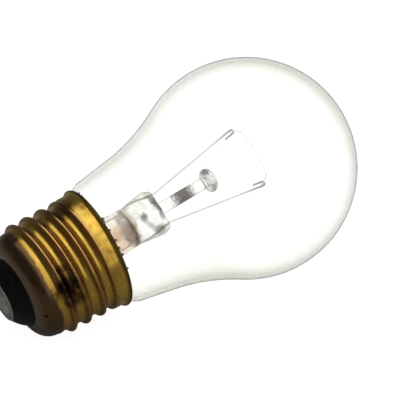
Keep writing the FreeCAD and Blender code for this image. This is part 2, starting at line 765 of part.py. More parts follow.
def build_supports():
    """Fine wires that spread from the button and end in an eye round the filament."""
    eye = size("support_eye_radius")
    across, up = size("filament_circle_radius"), lead_points(1)[1].z
    foot = size("button_radius") + size("support_radius") / 3
    level = size("button_middle")
    profile = [
        (foot, level),
        (foot + size("support_reach"), level + size("support_rise")),
        (across - eye, up + eye),
        (across + eye, up + eye),
        (across + eye, up - eye),
        (across - eye / 3, up - eye),
    ]
    for number, angle in enumerate(SUPPORT_ANGLES, start=1):
        points = [FreeCAD.Vector(x, 0, z) for x, z in profile]
        bends = [size("support_bend"), eye, eye, eye]
        bent_wire(f"support_wire_{number}", points, bends, size("support_radius"), "mount", turned(angle))


def build_contact_lead():
    """The outer lead that runs down inside the stem and through the collar into the contact's solder."""
    points = [
        leaned(FreeCAD.Vector(-size("lead_across"), 0, size("bore_top"))),
        leaned(FreeCAD.Vector(-size("lead_across"), 0, size("exhaust_tip_height") + size("contact_lead_turn"))),
        FreeCAD.Vector(0, 0, size("insulator_dish_up") + size("contact_lead_entry")),
        FreeCAD.Vector(0, 0, size("contact_solder_tip")),
    ]
    bends = [size("outer_bend"), size("outer_bend")]
    bent_wire("contact_lead", points, bends, size("outer_lead_radius"), "upright")


def leaned(point):
    """A point of the leaning mount, seen in the upright frame turned with it."""
    tilt = math.radians(size("mount_lean"))
    rise = point.z - size("end_up")
    across = point.x * math.cos(tilt) + rise * math.sin(tilt)
    return FreeCAD.Vector(across, point.y, size("end_up") - point.x * math.sin(tilt) + rise * math.cos(tilt))


def build_shell_lead():
    """The outer lead that leaves the stem's mouth, runs up between neck and shell and is bent over the rim."""
    wire = size("outer_lead_radius")
    rim = size("rim_height")
    above = rim + wire + size("fit_gap")
    gap = (size("neck_end_radius") + size("shell_bore_radius")) / 2
    band_gap = size("band_bore_radius") - wire - size("shell_lead_clearance")
    rim_gap = size("rim_edge_radius") - size("shell_wall") - wire - size("fit_gap")
    outside = size("rim_bead_radius") + 2 * wire
    across = size("lead_across")
    drop = size("shell_lead_drop")
    points = [
        leaned(FreeCAD.Vector(across, 0, size("bore_top"))),
        leaned(FreeCAD.Vector(across, 0, size("flare_top_up") + size("shell_lead_leave"))),
    ]
    for x, y, down in SHELL_LEAD_SWING:
        points.append(FreeCAD.Vector(across * x, across * y, size("end_up") - drop * down))
    points += [
        FreeCAD.Vector(0, -gap, size("end_up") - drop),
        FreeCAD.Vector(0, -gap, size("root_up") - size("shell_lead_rise")),
        FreeCAD.Vector(0, -band_gap, size("root_up")),
        FreeCAD.Vector(0, -rim_gap, rim - size("shell_lead_inside")),
        FreeCAD.Vector(0, -rim_gap, above),
        FreeCAD.Vector(0, -outside, above),
        FreeCAD.Vector(0, -outside, rim - size("rim_bead_length") / 2),
        FreeCAD.Vector(0, -size("band_radius") - wire - size("fit_gap"),
                       rim - size("rim_bead_length") - size("shell_lead_end")),
    ]
    bends = [size(name) for name in SHELL_LEAD_BENDS]
    return bent_wire("shell_lead", points, bends, wire, "upright")


def build_shell_solder(shell_core, lead):
    """A drop of solder that holds the end of the shell lead to the plain band."""
    drop = Part.makeSphere(1.0)
    stretch = FreeCAD.Matrix()
    stretch.scale(size("shell_solder_width"), size("shell_solder_height"), size("shell_solder_length"))
    drop = drop.transformGeometry(stretch)
    height = size("rim_height") - size("rim_bead_length") - size("shell_solder_drop")
    drop.translate(FreeCAD.Vector(0, -size("band_radius") - size("shell_solder_sink"), height))
    core = shell_core.copy()
    core.rotate(FreeCAD.Vector(), FreeCAD.Vector(0, 0, 1), -size("mount_turn"))
    drop = drop.cut(core).cut(lead.Shape)
    new_feature("shell_solder", max(drop.Solids, key=lambda piece: piece.Volume), "upright")


def build_shell():
    """Thin rolled brass: a rounded lip, a shoulder, the knuckle thread, a plain band and a beaded rim."""
    outer, inner = shell_face(0.0), shell_face(size("shell_wall"))
    new_feature("screw_shell", shell_solid([outer, inner]), "lamp")
    return shell_solid([outer])


def lean_angle():
    """The angle at which the lamp lies when its crown and the lowest thread crest touch the same surface."""
    steps, furthest, tolerance = 250, 40, 1e-6
    low = []
    for step in range(steps + 1):
        for angle in range(-furthest, furthest + 1, 4):
            point = shell_point(angle % TURN, 1 + step / steps)
            low.append((point.x, point.z))
    flat, steep = 0.0, 30.0
    while steep - flat > tolerance:
        middle = (flat + steep) / 2
        tilt = math.radians(middle)
        rise = size("crown_radius") - size("crown_centre") * math.sin(tilt)
        if min(rise + z * math.sin(tilt) - x * math.cos(tilt) for x, z in low) > 0:
            flat = middle
        else:
            steep = middle
    return flat


def lay_down():
    """Place every piece: the mount leans in the neck, and the whole lamp lies on its side."""
    lean = lean_angle()
    upward = FreeCAD.Vector(0, 0, 1)
    sideways = FreeCAD.Vector(0, 1, 0)
    tilt = FreeCAD.Rotation(sideways, QUARTER_TURN - lean)
    centre = tilt.multVec(upward * size("crown_centre"))
    lamp = FreeCAD.Placement(FreeCAD.Vector(-centre.x, 0, size("crown_radius") - centre.z), tilt)
    upright = lamp * turned(size("mount_turn"))
    seal = upward * size("end_up")
    leaning = FreeCAD.Placement(FreeCAD.Vector(), FreeCAD.Rotation(sideways, size("mount_lean")), seal)
    frames = {"lamp": lamp, "upright": upright, "mount": upright * leaning}
    for part in parts:
        frame, own = drawn_in[part.Label]
        part.Placement = frames[frame] * own
    doc.recompute()
    boxes = [part.Shape.optimalBoundingBox(False, False) for part in parts]
    middle = (min(box.XMin for box in boxes) + max(box.XMax for box in boxes)) / 2
    for part in parts:
        part.Placement = FreeCAD.Placement(FreeCAD.Vector(-middle, 0, 0), FreeCAD.Rotation()) * part.Placement
    doc.recompute()
    tip = lamp.Base - FreeCAD.Vector(middle, 0, 0)
    print(f"lean {lean:.4f} degrees, contact tip at {tip.x:.4f} {tip.y:.4f} {tip.z:.4f}")


def check_parts():
    """Stop if any object failed or any piece is not one sound solid."""
    for item in doc.Objects:
        if {"Invalid", "Error"} & set(item.State):
            raise RuntimeError(f"{item.Label}: {item.State}")
    for part in parts:
        shape = part.Shape
        if shape.isNull() or not shape.isValid() or len(shape.Solids) != 1 or shape.Volume <= 0:
            raise RuntimeError(f"{part.Label} is not one sound solid")


fill_sheet()
build_envelope()
build_stem()
build_exhaust()
build_arbor()
build_seal_wires()
build_leads()
build_supports()
build_filament()
build_contact_lead()
shell_lead = build_shell_lead()
shell_core = build_shell()
build_shell_solder(shell_core, shell_lead)
build_insulator()
build_contact()
build_contact_solder()
build_cement()
doc.recompute()
lay_down()
check_parts()

os.makedirs("parts", exist_ok=True)
for part in parts:
    part.Shape.exportStep(f"parts/{part.Label}.step")
    print(f"{part.Label}: {part.Shape.Volume:.3f} mm3")
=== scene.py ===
import math

import bmesh
import bpy
import numpy as np
from mathutils import Matrix


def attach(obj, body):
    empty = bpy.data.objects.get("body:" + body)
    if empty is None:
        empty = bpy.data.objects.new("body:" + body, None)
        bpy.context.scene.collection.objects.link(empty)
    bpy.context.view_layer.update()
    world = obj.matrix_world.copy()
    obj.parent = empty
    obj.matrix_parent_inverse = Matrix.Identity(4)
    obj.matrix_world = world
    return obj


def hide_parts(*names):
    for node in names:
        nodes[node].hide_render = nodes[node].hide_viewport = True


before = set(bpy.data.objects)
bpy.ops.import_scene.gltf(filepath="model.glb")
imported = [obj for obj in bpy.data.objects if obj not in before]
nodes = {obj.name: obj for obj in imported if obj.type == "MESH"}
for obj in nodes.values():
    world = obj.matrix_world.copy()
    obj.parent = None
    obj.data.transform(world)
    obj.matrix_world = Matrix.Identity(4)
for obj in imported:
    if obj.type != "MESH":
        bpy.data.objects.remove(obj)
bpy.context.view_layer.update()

# Lengths are in millimetres and turned to metres when a mesh is made. The lamp's own frame has 0 at the tip
# of the centre contact and its third axis toward the crown; the lamp lies on its side with the crown end
# raised by LEAN. The stem, with all it carries, is turned in the neck and leans a little.
MM = 0.001
TURN = 2 * math.pi
LEAN = math.radians(12.8706)
CONTACT_TIP = np.array([-42.4365, 0.0, 10.2113])
MOUNT_TURN = math.radians(137.2)
MOUNT_LEAN = math.radians(2.3)

# Glass.
OVERALL_LENGTH = 87.0
CROWN_RADIUS = 24.2
FLANK_RADIUS = 45.0
NECK_RADIUS = 14.431
NECK_FLARE_SHARE = 0.5927
NECK_HEIGHT = 3.0
NECK_TURN_RADIUS = 4.0
NECK_TURN = math.radians(45.0)
NECK_ROOT_RADIUS = 4.0
NECK_END_RADIUS = 11.1
NECK_END_DEPTH = 9.4
GLASS_WALL = 0.7
# The steps round the axis, the length of a step along a straight run, and the degrees of one along an arc.
GLASS_STEPS = 240
RUN_STEP = 1.0
ARC_STEP = 1.5

# Screw shell. The rim bead rises and falls between shares of its length, and its fall is an arc that stops
# just short of upright. Below the band the thread fades in, and above the shoulder it runs out.
RIM_HEIGHT = 25.2
RIM_BEAD_RADIUS = 13.85
RIM_BEAD_LENGTH = 1.85
RIM_BEAD_START = 0.4
RIM_BEAD_PEAK = 0.7
RIM_BEAD_FALL = 0.98
RIM_EDGE_RADIUS = 13.45
BAND_RADIUS = 13.2
THREAD_ROOT_RADIUS = 12.15
THREAD_PITCH = 3.629
THREAD_CREST_SHARE = 0.28
THREAD_PHASE = -5.95
THREAD_FADE_DEPTH = 3.2
THREAD_FADE_LENGTH = 1.2
THREAD_RUNOUT_DEPTH = 17.12
THREAD_RUNOUT_LENGTH = 1.7
SHOULDER_RADIUS = 4.0
SHOULDER_DEPTH = 17.0
SHELL_WALL = 0.3
# The steps round the axis, and the rings of points on the shoulder, the thread with the band, and the bead.
# The inner face has one ring for each INNER_STRIDE outer ones.
SHELL_STEPS = 320
SHOULDER_RINGS = 20
THREAD_RINGS = 160
BEAD_RINGS = 18
INNER_STRIDE = 3

# Filament: where the folds of the leads hold it, the circle it is strung round with the turns of its three
# supports in degrees, how far its ends hang down, the bend at each support, and its coil.
HELD_ACROSS = 6.5746
HELD_UP = 64.1642
FILAMENT_CIRCLE = 7.7
SUPPORT_TURNS = (45.0, 90.0, 135.0)
FILAMENT_TAIL = 1.3
FILAMENT_BEND = 0.5
COIL_RADIUS = 0.12
COIL_WIRE = 0.024
COIL_PITCH = 0.1
COIL_STEPS = 10
WIRE_SIDES = 5

# Crumbs of cement at the rim: those that the photograph shows, by their turn round the lamp in degrees, and
# others on the rest of the rim, counted from the turn that faces the camera. All lie at one distance from
# the axis.
CRUMB_TURNS = (207.7, 210.7, 220.5, 231.5, 239.5, 246.5)
CRUMB_SIZE = 0.31
HIDDEN_CRUMBS = 16
HIDDEN_ARC = (30.0, 330.0)
HIDDEN_SIZES = (0.18, 0.32)
CAMERA_TURN = 229.7
CRUMB_RADIUS = 13.0
CRUMB_RISE = (0.1, 0.35)
CRUMB_ROWS = 9
CRUMB_COLUMNS = 12
CRUMB_UNEVENNESS = 0.16

# Camera: fitted to the rim, the lip, the crown and the crest lines of the photograph, with the rim's centre
# at its place in the frame.
CAMERA_AZIMUTH = math.radians(-30.45)
CAMERA_ELEVATION = math.radians(32.35)
CAMERA_DISTANCE = 800.0
PIXELS_PER_MM = 4.670
FRAME_SIDE = 415.0
RIM_PIXEL = (99.06, 247.22)
SENSOR_WIDTH = 36.0

# Soft boxes stand side by side in a half ring round the lamp's axis, as one curved sheet of light that runs
# from the horizon on the camera's side over the top and down the far side. Distance, length and shift along
# the axis are in metres, the span is in degrees. Each box has its turn from the camera about the axis, in
# degrees, and a brightness.
BOX_DISTANCE = 0.9
BOX_LENGTH = 0.76
BOX_SHIFT = 0.2
BOX_SPAN = 34.0
SOFT_BOXES = ((-24.0, 0.75), (10.0, 1.0), (44.0, 1.4), (78.0, 1.1))

# How bright the floor glows to the eye and as soft light from below, and how bright the room is in a gloss
# and as soft light. The floor reaches this many metres each way.
FLOOR_GLOW = 0.93
FLOOR_LIGHT = 0.85
ROOM_GLOSS = 0.1
ROOM_LIGHT = 0.7
FLOOR_REACH = 3.0


def frame_matrix(turn, lean, seal):
    """A turn about the third axis, after a lean about the second axis at the height of the seal."""
    c, s = math.cos(turn), math.sin(turn)
    d, e = math.cos(lean), math.sin(lean)
    turned = np.array([[c, -s, 0, 0], [s, c, 0, 0], [0, 0, 1, 0], [0, 0, 0, 1.0]])
    leaning = np.array([[d, 0, e, -e * seal], [0, 1, 0, 0], [-e, 0, d, seal - d * seal], [0, 0, 0, 1.0]])
    return turned @ leaning


LAMP = np.eye(4)
LAMP[:3, 0] = [math.sin(LEAN), 0, -math.cos(LEAN)]
LAMP[:3, 2] = [math.cos(LEAN), 0, math.sin(LEAN)]
LAMP[:3, 3] = CONTACT_TIP
MOUNT = LAMP @ frame_matrix(MOUNT_TURN, MOUNT_LEAN, RIM_HEIGHT - NECK_END_DEPTH)


def placed(points, matrix):
    """Points of a frame as points of the world, both in millimetres."""
    return points @ matrix[:3, :3].T + matrix[:3, 3]


def grid_faces(rows, columns, closed_rows, closed_columns):
    """The quads of a grid of rows x columns points, wound from the next row to the next column."""
    down = np.arange(rows if closed_rows else rows - 1)[:, None]
    along = np.arange(columns if closed_columns else columns - 1)[None, :]
    below, beside = (down + 1) % rows, (along + 1) % columns
    corners = [down * columns + along, below * columns + along,
               below * columns + beside, down * columns + beside]
    return np.stack([np.broadcast_to(c, (down.size, along.size)) for c in corners], -1).reshape(-1, 4)


def new_piece(name, points, faces, matrix, material, smooth=40.0, attributes=None):
    """A mesh object at the origin from points of a frame. Points that meet are merged, so that poles close,
    and edges that bend by more degrees than smooth stay sharp."""
    mesh = bpy.data.meshes.new(name)
    mesh.from_pydata(placed(points.reshape(-1, 3), matrix) * MM, [], faces.tolist())
    for label, values in (attributes or {}).items():
        attribute = mesh.attributes.new(label, "FLOAT", "POINT")
        attribute.data.foreach_set("value", values.astype(np.float32).ravel())
    work = bmesh.new()
    work.from_mesh(mesh)
    bmesh.ops.remove_doubles(work, verts=work.verts, dist=1e-6)
    work.to_mesh(mesh)
    work.free()
    mesh.shade_smooth()
    mesh.set_sharp_from_angle(angle=math.radians(smooth))
    mesh.materials.append(material)
    piece = bpy.data.objects.new(name, mesh)
    bpy.context.scene.collection.objects.link(piece)
    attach(piece, "root")
    return piece


def arc(start, end, radius, turn):
    """Points of the short arc from start to end that turns left (turn 1) or right (turn -1), without its
    start: the centre is on the chord's normal, and the angle runs evenly."""
    start, end = np.array(start, float), np.array(end, float)
    chord = end - start
    length = np.hypot(*chord)
    left = np.array([-chord[1], chord[0]]) / length
    centre = (start + end) / 2 + left * turn * math.sqrt(max(radius ** 2 - length ** 2 / 4, 0.0))
    first = math.atan2(*(start - centre)[::-1])
    sweep = (math.atan2(*(end - centre)[::-1]) - first) * turn % TURN * turn
    count = max(int(abs(math.degrees(sweep)) / ARC_STEP), 2)
    angles = first + sweep * np.arange(1, count + 1) / count
    return centre + radius * np.stack([np.cos(angles), np.sin(angles)], 1)


def outline(corners):
    """A closed outline, as distances from the axis and heights. A corner is (across, up), reached by a
    straight line cut into short runs, or (across, up, radius, turn), reached by an arc."""
    points = []
    for index, corner in enumerate(corners):
        before = corners[index - 1][:2]
        if len(corner) > 2:
            points.extend(arc(before, corner[:2], corner[2], corner[3]))
        else:
            run = np.array(corner[:2], float) - before
            count = max(int(np.hypot(*run) / RUN_STEP), 1)
            points.extend(np.array(before) + run * (k / count) for k in range(1, count + 1))
    return np.array(points)


def turned(name, corners, matrix, material, slot, node):
    """A piece turned on the axis: a point (r, z) of its outline goes round to (r cos a, r sin a, z)."""
    rings = outline(corners)
    angles = TURN * np.arange(GLASS_STEPS) / GLASS_STEPS
    points = np.stack([np.cos(angles)[:, None] * rings[:, 0], np.sin(angles)[:, None] * rings[:, 0],
                       np.broadcast_to(rings[:, 1], (GLASS_STEPS, len(rings)))], -1)
    faces = grid_faces(GLASS_STEPS, len(rings), True, True)
    piece = new_piece(name, points, faces, matrix, material)
    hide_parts(node)
    return piece


def linear(code):
    """An sRGB hex colour as linear red, green, blue and a full alpha."""
    channels = [int(code[k:k + 2], 16) / 255 for k in (1, 3, 5)]
    return [c / 12.92 if c <= 0.04045 else ((c + 0.055) / 1.055) ** 2.4 for c in channels] + [1.0]


def feed(tree, node, inputs):
    """Gives each input of a node, by name or number, what it takes: a value, a hex colour, an output to
    link, or a node, which stands for its first output in use."""
    for key, value in inputs.items():
        if isinstance(value, bpy.types.Node):
            value = next(output for output in value.outputs if output.enabled)
        if isinstance(value, bpy.types.NodeSocket):
            tree.links.new(value, node.inputs[key])
        else:
            node.inputs[key].default_value = linear(value) if isinstance(value, str) else value


def add(tree, kind, inputs=None, stops=(), **settings):
    """Adds one node with its settings, its inputs and, for a colour ramp, its places and colours."""
    node = tree.nodes.new(kind)
    for key, value in settings.items():
        setattr(node, key, value)
    feed(tree, node, inputs or {})
    for index, (place, colour) in enumerate(stops):
        element = node.color_ramp.elements[index] if index < 2 else node.color_ramp.elements.new(place)
        element.position = place
        element.color = linear(colour)
    return node


def new_material(name, **sockets):
    """A material with its node tree and its shader, on which the sockets are set: _ stands for a space."""
    material = bpy.data.materials.new(name)
    material.use_nodes = True
    shader = material.node_tree.nodes["Principled BSDF"]
    feed(material.node_tree, shader, {key.replace("_", " "): value for key, value in sockets.items()})
    return material, material.node_tree, shader


def lamp_space(tree):
    """Object coordinates as millimetres of the lamp's own frame, and the height among them."""
    place = add(tree, "ShaderNodeMapping", {
        "Vector": add(tree, "ShaderNodeTexCoord").outputs["Object"], "Location": (CONTACT_TIP * MM).tolist(),
        "Rotation": (0.0, math.pi / 2 - LEAN, 0.0), "Scale": (MM, MM, MM)}, vector_type="TEXTURE")
    return place, add(tree, "ShaderNodeSeparateXYZ", {0: place}).outputs["Z"]


def pass_light(tree, shader):
    """Lets the light of the lamps and the room through a glass wall to what it holds, without caustics."""
    path = add(tree, "ShaderNodeLightPath").outputs
    through = add(tree, "ShaderNodeMath", {0: path["Is Shadow Ray"], 1: path["Is Diffuse Ray"]},
                  operation="MAXIMUM")
    clear = add(tree, "ShaderNodeBsdfTransparent", {"Color": "#F4F4F2"})
    either = add(tree, "ShaderNodeMixShader", {0: through, 1: shader, 2: clear})
    feed(tree, tree.nodes["Material Output"], {"Surface": either})


def spotted(tree, place, noise, raggedness, colour, spots):
    """A colour with spots mixed in: each a place in the lamp's frame, its reach in millimetres, its
    strength and its tone. The noise, about 0.5 on the whole, makes the edges of the spots uneven by the
    raggedness in millimetres."""
    ragged = add(tree, "ShaderNodeMath", {0: noise, 1: raggedness, 2: -raggedness / 2},
                 operation="MULTIPLY_ADD")
    for spot, reach, strength, tone in spots:
        away = add(tree, "ShaderNodeVectorMath", {0: place, 1: spot}, operation="DISTANCE")
        away = add(tree, "ShaderNodeMath", {0: away, 1: ragged}, operation="ADD")
        near = add(tree, "ShaderNodeMapRange", {
            "Value": away, "From Min": reach * 1.35, "From Max": reach * 0.5, "To Max": strength},
            interpolation_type="SMOOTHSTEP")
        colour = add(tree, "ShaderNodeMix", {0: near, 6: colour, 7: tone}, data_type="RGBA")
    return colour


def dark_outline(tree, colour, dark, amount):
    """The colour of clear glass on a bright ground: as given face on, and dark where the eye looks along the
    wall, a painted shade for the dark edge of refracting glass."""
    facing = add(tree, "ShaderNodeLayerWeight", {"Blend": 0.5}).outputs["Facing"]
    share = add(tree, "ShaderNodeMapRange", {"Value": facing, "From Min": 0.15, "From Max": 0.9},
                interpolation_type="SMOOTHSTEP")
    share = add(tree, "ShaderNodeMath", {0: share, 1: amount}, operation="MULTIPLY")
    return add(tree, "ShaderNodeMix", {0: share, 6: colour, 7: dark}, data_type="RGBA")


# Grey of the glass, partly haze of a thin coat and partly painted shade: the two directions of the world
# toward which the painted shade is heaviest, under the lamp and over the crown, the heights between which the
# grey gathers toward the neck, and its tones from face on to along the wall, where the grey is painted shade
# standing in for the dark limb of refracting glass.
PAINTED_SHADE_UNDER = (-0.27, -0.46, -0.85)
PAINTED_SHADE_OVER = (0.80, -0.03, 0.60)
NECK_GREY_HEIGHTS = (58.0, 34.0)
HAZE_AND_SHADE_TONES = ((0.0, "#FFFFFE"), (0.5, "#FEFEFC"), (0.63, "#F2F1EB"), (0.76, "#D9D8CE"), (0.88, "#C9C8BC"),
              (1.0, "#C4C3B6"))


def glass_material():
    """Blown soda-lime glass with a thin hazy coat: clear where it is seen straight on, and grey where the eye
    looks along the wall, a painted shade for the dark limb of refracting glass. The grey is painted heavier
    on the underside and over the crown, by fixed directions of the world, and heavier toward the neck."""
    material, tree, shader = new_material("hazed_glass_painted_shade", Transmission_Weight=1.0, Roughness=0.0,
                                          IOR=1.22)
    _, height = lamp_space(tree)
    facing = add(tree, "ShaderNodeLayerWeight", {"Blend": 0.5}).outputs["Facing"]
    # painted shade: the glass is greyer where its surface faces two fixed directions of the world
    normal = add(tree, "ShaderNodeNewGeometry").outputs["Normal"]
    under = add(tree, "ShaderNodeVectorMath", {0: normal, 1: PAINTED_SHADE_UNDER}, operation="DOT_PRODUCT")
    over = add(tree, "ShaderNodeVectorMath", {0: normal, 1: PAINTED_SHADE_OVER}, operation="DOT_PRODUCT")
    most = add(tree, "ShaderNodeMath", {0: under, 1: over}, operation="MAXIMUM")
    sides = add(tree, "ShaderNodeMapRange", {
        "Value": most, "From Min": -0.3, "From Max": 0.9, "To Min": 0.34}, interpolation_type="SMOOTHSTEP")
    neck = add(tree, "ShaderNodeMapRange", {
        "Value": height, "From Min": NECK_GREY_HEIGHTS[0], "From Max": NECK_GREY_HEIGHTS[1], "To Max": 0.66},
        interpolation_type="SMOOTHSTEP")
    depth = add(tree, "ShaderNodeMath", {0: sides, 1: neck}, operation="MAXIMUM")
    grey_share = add(tree, "ShaderNodeMath", {0: neck, 1: 0.12, 2: facing}, operation="MULTIPLY_ADD")
    haze_and_shade = add(tree, "ShaderNodeValToRGB", {0: grey_share}, HAZE_AND_SHADE_TONES)
    colour = add(tree, "ShaderNodeMix", {0: depth, 6: "#FFFFFF", 7: haze_and_shade}, data_type="RGBA")
    feed(tree, shader, {"Base Color": colour})
    pass_light(tree, shader)
    return material


# Brass: tones of the plain sheet from bright to dull, and tones of the thread from crest to root, partly
# tarnish and wear and partly painted light: a painted highlight in the roots and on the crests, painted shade
# on the slopes. Toward one direction of the lamp's frame, the side where the lamps' highlight falls, crests
# and slopes are painted lighter and the shoulder's gold reaches lower, a painted highlight. The lip tone is
# paler, a painted highlight along the lip, and the edge tone is painted shade on the outer edge of the rim
# bead. Stains: place, reach, strength and tone; the first three make one burnt stain, the fourth is a dark
# patch on the upper side of the thread, and the fifth is painted shade of a small dent in the shoulder.
SHEET_TONES = ((0.38, "#DFBA55"), (0.5, "#CDA548"), (0.58, "#B48C3C"), (0.68, "#937034"))
THREAD_TONES = ((0.0, "#BC9462"), (0.09, "#AA804C"), (0.22, "#8C6035"), (0.46, "#82572B"), (0.74, "#A27A37"),
                (0.94, "#CBA348"))
# the lip tone is paler: a painted highlight along the lip
PAINTED_LIP_HIGHLIGHT = "#80705E"
SHOULDER_TONE = "#5C4633"
# painted shade on the outer edge of the rim bead
PAINTED_EDGE_SHADE = "#4A3A28"
# the side of the lamp's frame where the lamps' highlight falls, toward which a highlight is painted
PAINTED_HIGHLIGHT_SIDE = (-0.87, -0.5, 0.0)
STAINS = (
    ((-4.8, -11.9, 11.7), 3.0, 0.96, "#1C0C10"),
    ((-1.0, -12.8, 12.3), 2.4, 0.85, "#2E1412"),
    ((-7.8, -10.1, 12.4), 1.6, 0.8, "#3C1812"),
    ((-12.4, 1.5, 19.4), 3.0, 0.7, "#4A2A14"),
    # painted shade of a small dent in the shoulder
    ((0.5, -11.0, 5.2), 0.5, 0.9, "#17100C"),
)


def sheet_colour(tree, patch, cloud, lines):
    """Plain brass: half of its dullness is from the patches, the rest from the clouds and rolling lines."""
    dull = add(tree, "ShaderNodeMath", {0: patch, 1: 0.5}, operation="MULTIPLY")
    dull = add(tree, "ShaderNodeMath", {0: cloud, 1: 0.3, 2: dull}, operation="MULTIPLY_ADD")
    dull = add(tree, "ShaderNodeMath", {0: lines, 1: 0.2, 2: dull}, operation="MULTIPLY_ADD")
    return add(tree, "ShaderNodeValToRGB", {0: dull}, SHEET_TONES)


def thread_colour(tree, height, cloud, lit_side_shift, sheet):
    """The thread, from crest (0) to root (1): a pinkish crest, rubbed and with a painted highlight, a brown
    slope of tarnish with painted shade, and a golden root that is a painted highlight, fading into the
    sheet's own colour on the band. Crests and slopes are painted lighter on the side where the lamps'
    highlight falls."""
    groove = add(tree, "ShaderNodeAttribute", attribute_name="groove").outputs["Fac"]
    # painted light: tones by groove depth paint highlights in the roots and on the crests and shade on the
    # slopes, lighter on the lit side
    wear_and_light = add(tree, "ShaderNodeMath", {0: cloud, 1: 0.24, 2: groove}, operation="MULTIPLY_ADD")
    wear_and_light = add(tree, "ShaderNodeMath", {0: wear_and_light, 1: lit_side_shift}, operation="ADD")
    tarnish_and_light = add(tree, "ShaderNodeValToRGB", {0: wear_and_light}, THREAD_TONES)
    thread = add(tree, "ShaderNodeMapRange", {
        "Value": height, "From Min": 22.2, "From Max": 21.0, "To Max": 0.85}, interpolation_type="SMOOTHSTEP")
    return add(tree, "ShaderNodeMix", {0: thread, 6: sheet, 7: tarnish_and_light}, data_type="RGBA")


def shoulder_colour(tree, height, cloud, lit_side_shift, colour):
    """Shoulder and lip: a darker brown up to an uneven line, which lies lower on the lit side so that more
    gold, a painted highlight, shows there, and a paler tone round the lip, a painted highlight along it."""
    level = add(tree, "ShaderNodeMath", {0: cloud, 1: 0.8, 2: height}, operation="MULTIPLY_ADD")
    # painted highlight: on the lit side the dark line lies lower and the gold reaches further down
    level = add(tree, "ShaderNodeMath", {0: lit_side_shift, 1: -6.0, 2: level}, operation="MULTIPLY_ADD")
    darker_share = add(tree, "ShaderNodeMapRange", {
        "Value": level, "From Min": 9.67, "From Max": 8.87, "To Max": 0.95}, interpolation_type="SMOOTHSTEP")
    risen = add(tree, "ShaderNodeMapRange", {"Value": height, "From Min": 4.2, "From Max": 5.8})
    # the paler lip tone is a painted highlight
    lip_and_shoulder = add(tree, "ShaderNodeMix", {0: risen, 6: PAINTED_LIP_HIGHLIGHT, 7: SHOULDER_TONE}, data_type="RGBA")
    return add(tree, "ShaderNodeMix", {0: darker_share, 6: colour, 7: lip_and_shoulder}, data_type="RGBA")


def brass_material():
    """Brass sheet rolled to a shell: golden on the band; on the thread a golden root and a pinkish crest that
    are partly painted highlights, and brown slopes between that are tarnish with painted shade; a darker
    brown shoulder with a paler lip, a painted highlight; a painted dark edge on the rim bead; stains and fine
    rolling lines."""
    material, tree, shader = new_material("tarnished_brass_painted_light", Metallic=1.0)
    place, height = lamp_space(tree)
    # patches of tarnish about 4 mm wide, clouds of 1.5 mm and rolling lines 0.3 mm apart along the axis
    patch = add(tree, "ShaderNodeTexNoise", {
        "Vector": place, "Scale": 0.25, "Detail": 2.0, "Roughness": 0.55})
    cloud = add(tree, "ShaderNodeTexNoise", {
        "Vector": place, "Scale": 0.65, "Detail": 2.5, "Roughness": 0.5})
    stretched = add(tree, "ShaderNodeMapping", {"Vector": place, "Scale": (0.12, 0.12, 3.0)})
    lines = add(tree, "ShaderNodeTexNoise", {
        "Vector": stretched, "Scale": 1.0, "Detail": 3.0, "Roughness": 0.55})
    # painted highlight: lighter crests and slopes, and lower gold on the shoulder, on the side where the
    # lamps' highlight falls
    side = add(tree, "ShaderNodeVectorMath", {0: place, 1: PAINTED_HIGHLIGHT_SIDE}, operation="DOT_PRODUCT")
    lit_side_shift = add(tree, "ShaderNodeMapRange", {
        "Value": side, "From Min": 10.5, "From Max": 5.0, "To Min": -0.12, "To Max": 0.01})
    colour = sheet_colour(tree, patch, cloud, lines)
    colour = thread_colour(tree, height, cloud, lit_side_shift, colour)
    colour = shoulder_colour(tree, height, cloud, lit_side_shift, colour)
    # painted shade: the rim bead's outer edge, which turns away from the lamps, is made dark
    edge_shade = add(tree, "ShaderNodeMapRange", {
        "Value": height, "From Min": 24.25, "From Max": 24.6, "To Max": 0.9}, interpolation_type="SMOOTHSTEP")
    colour = add(tree, "ShaderNodeMix", {0: edge_shade, 6: colour, 7: PAINTED_EDGE_SHADE}, data_type="RGBA")
    colour = spotted(tree, place, cloud, 3.0, colour, STAINS)
    gloss = add(tree, "ShaderNodeMapRange", {
        "Value": cloud, "From Min": 0.35, "From Max": 0.7, "To Min": 0.2, "To Max": 0.32})
    grain = add(tree, "ShaderNodeMath", {0: lines, 1: 0.6, 2: cloud}, operation="MULTIPLY_ADD")
    bump = add(tree, "ShaderNodeBump", {"Height": grain, "Strength": 0.3, "Distance": 0.05 * MM})
    feed(tree, shader, {"Base Color": colour, "Roughness": gloss, "Normal": bump})
    return material


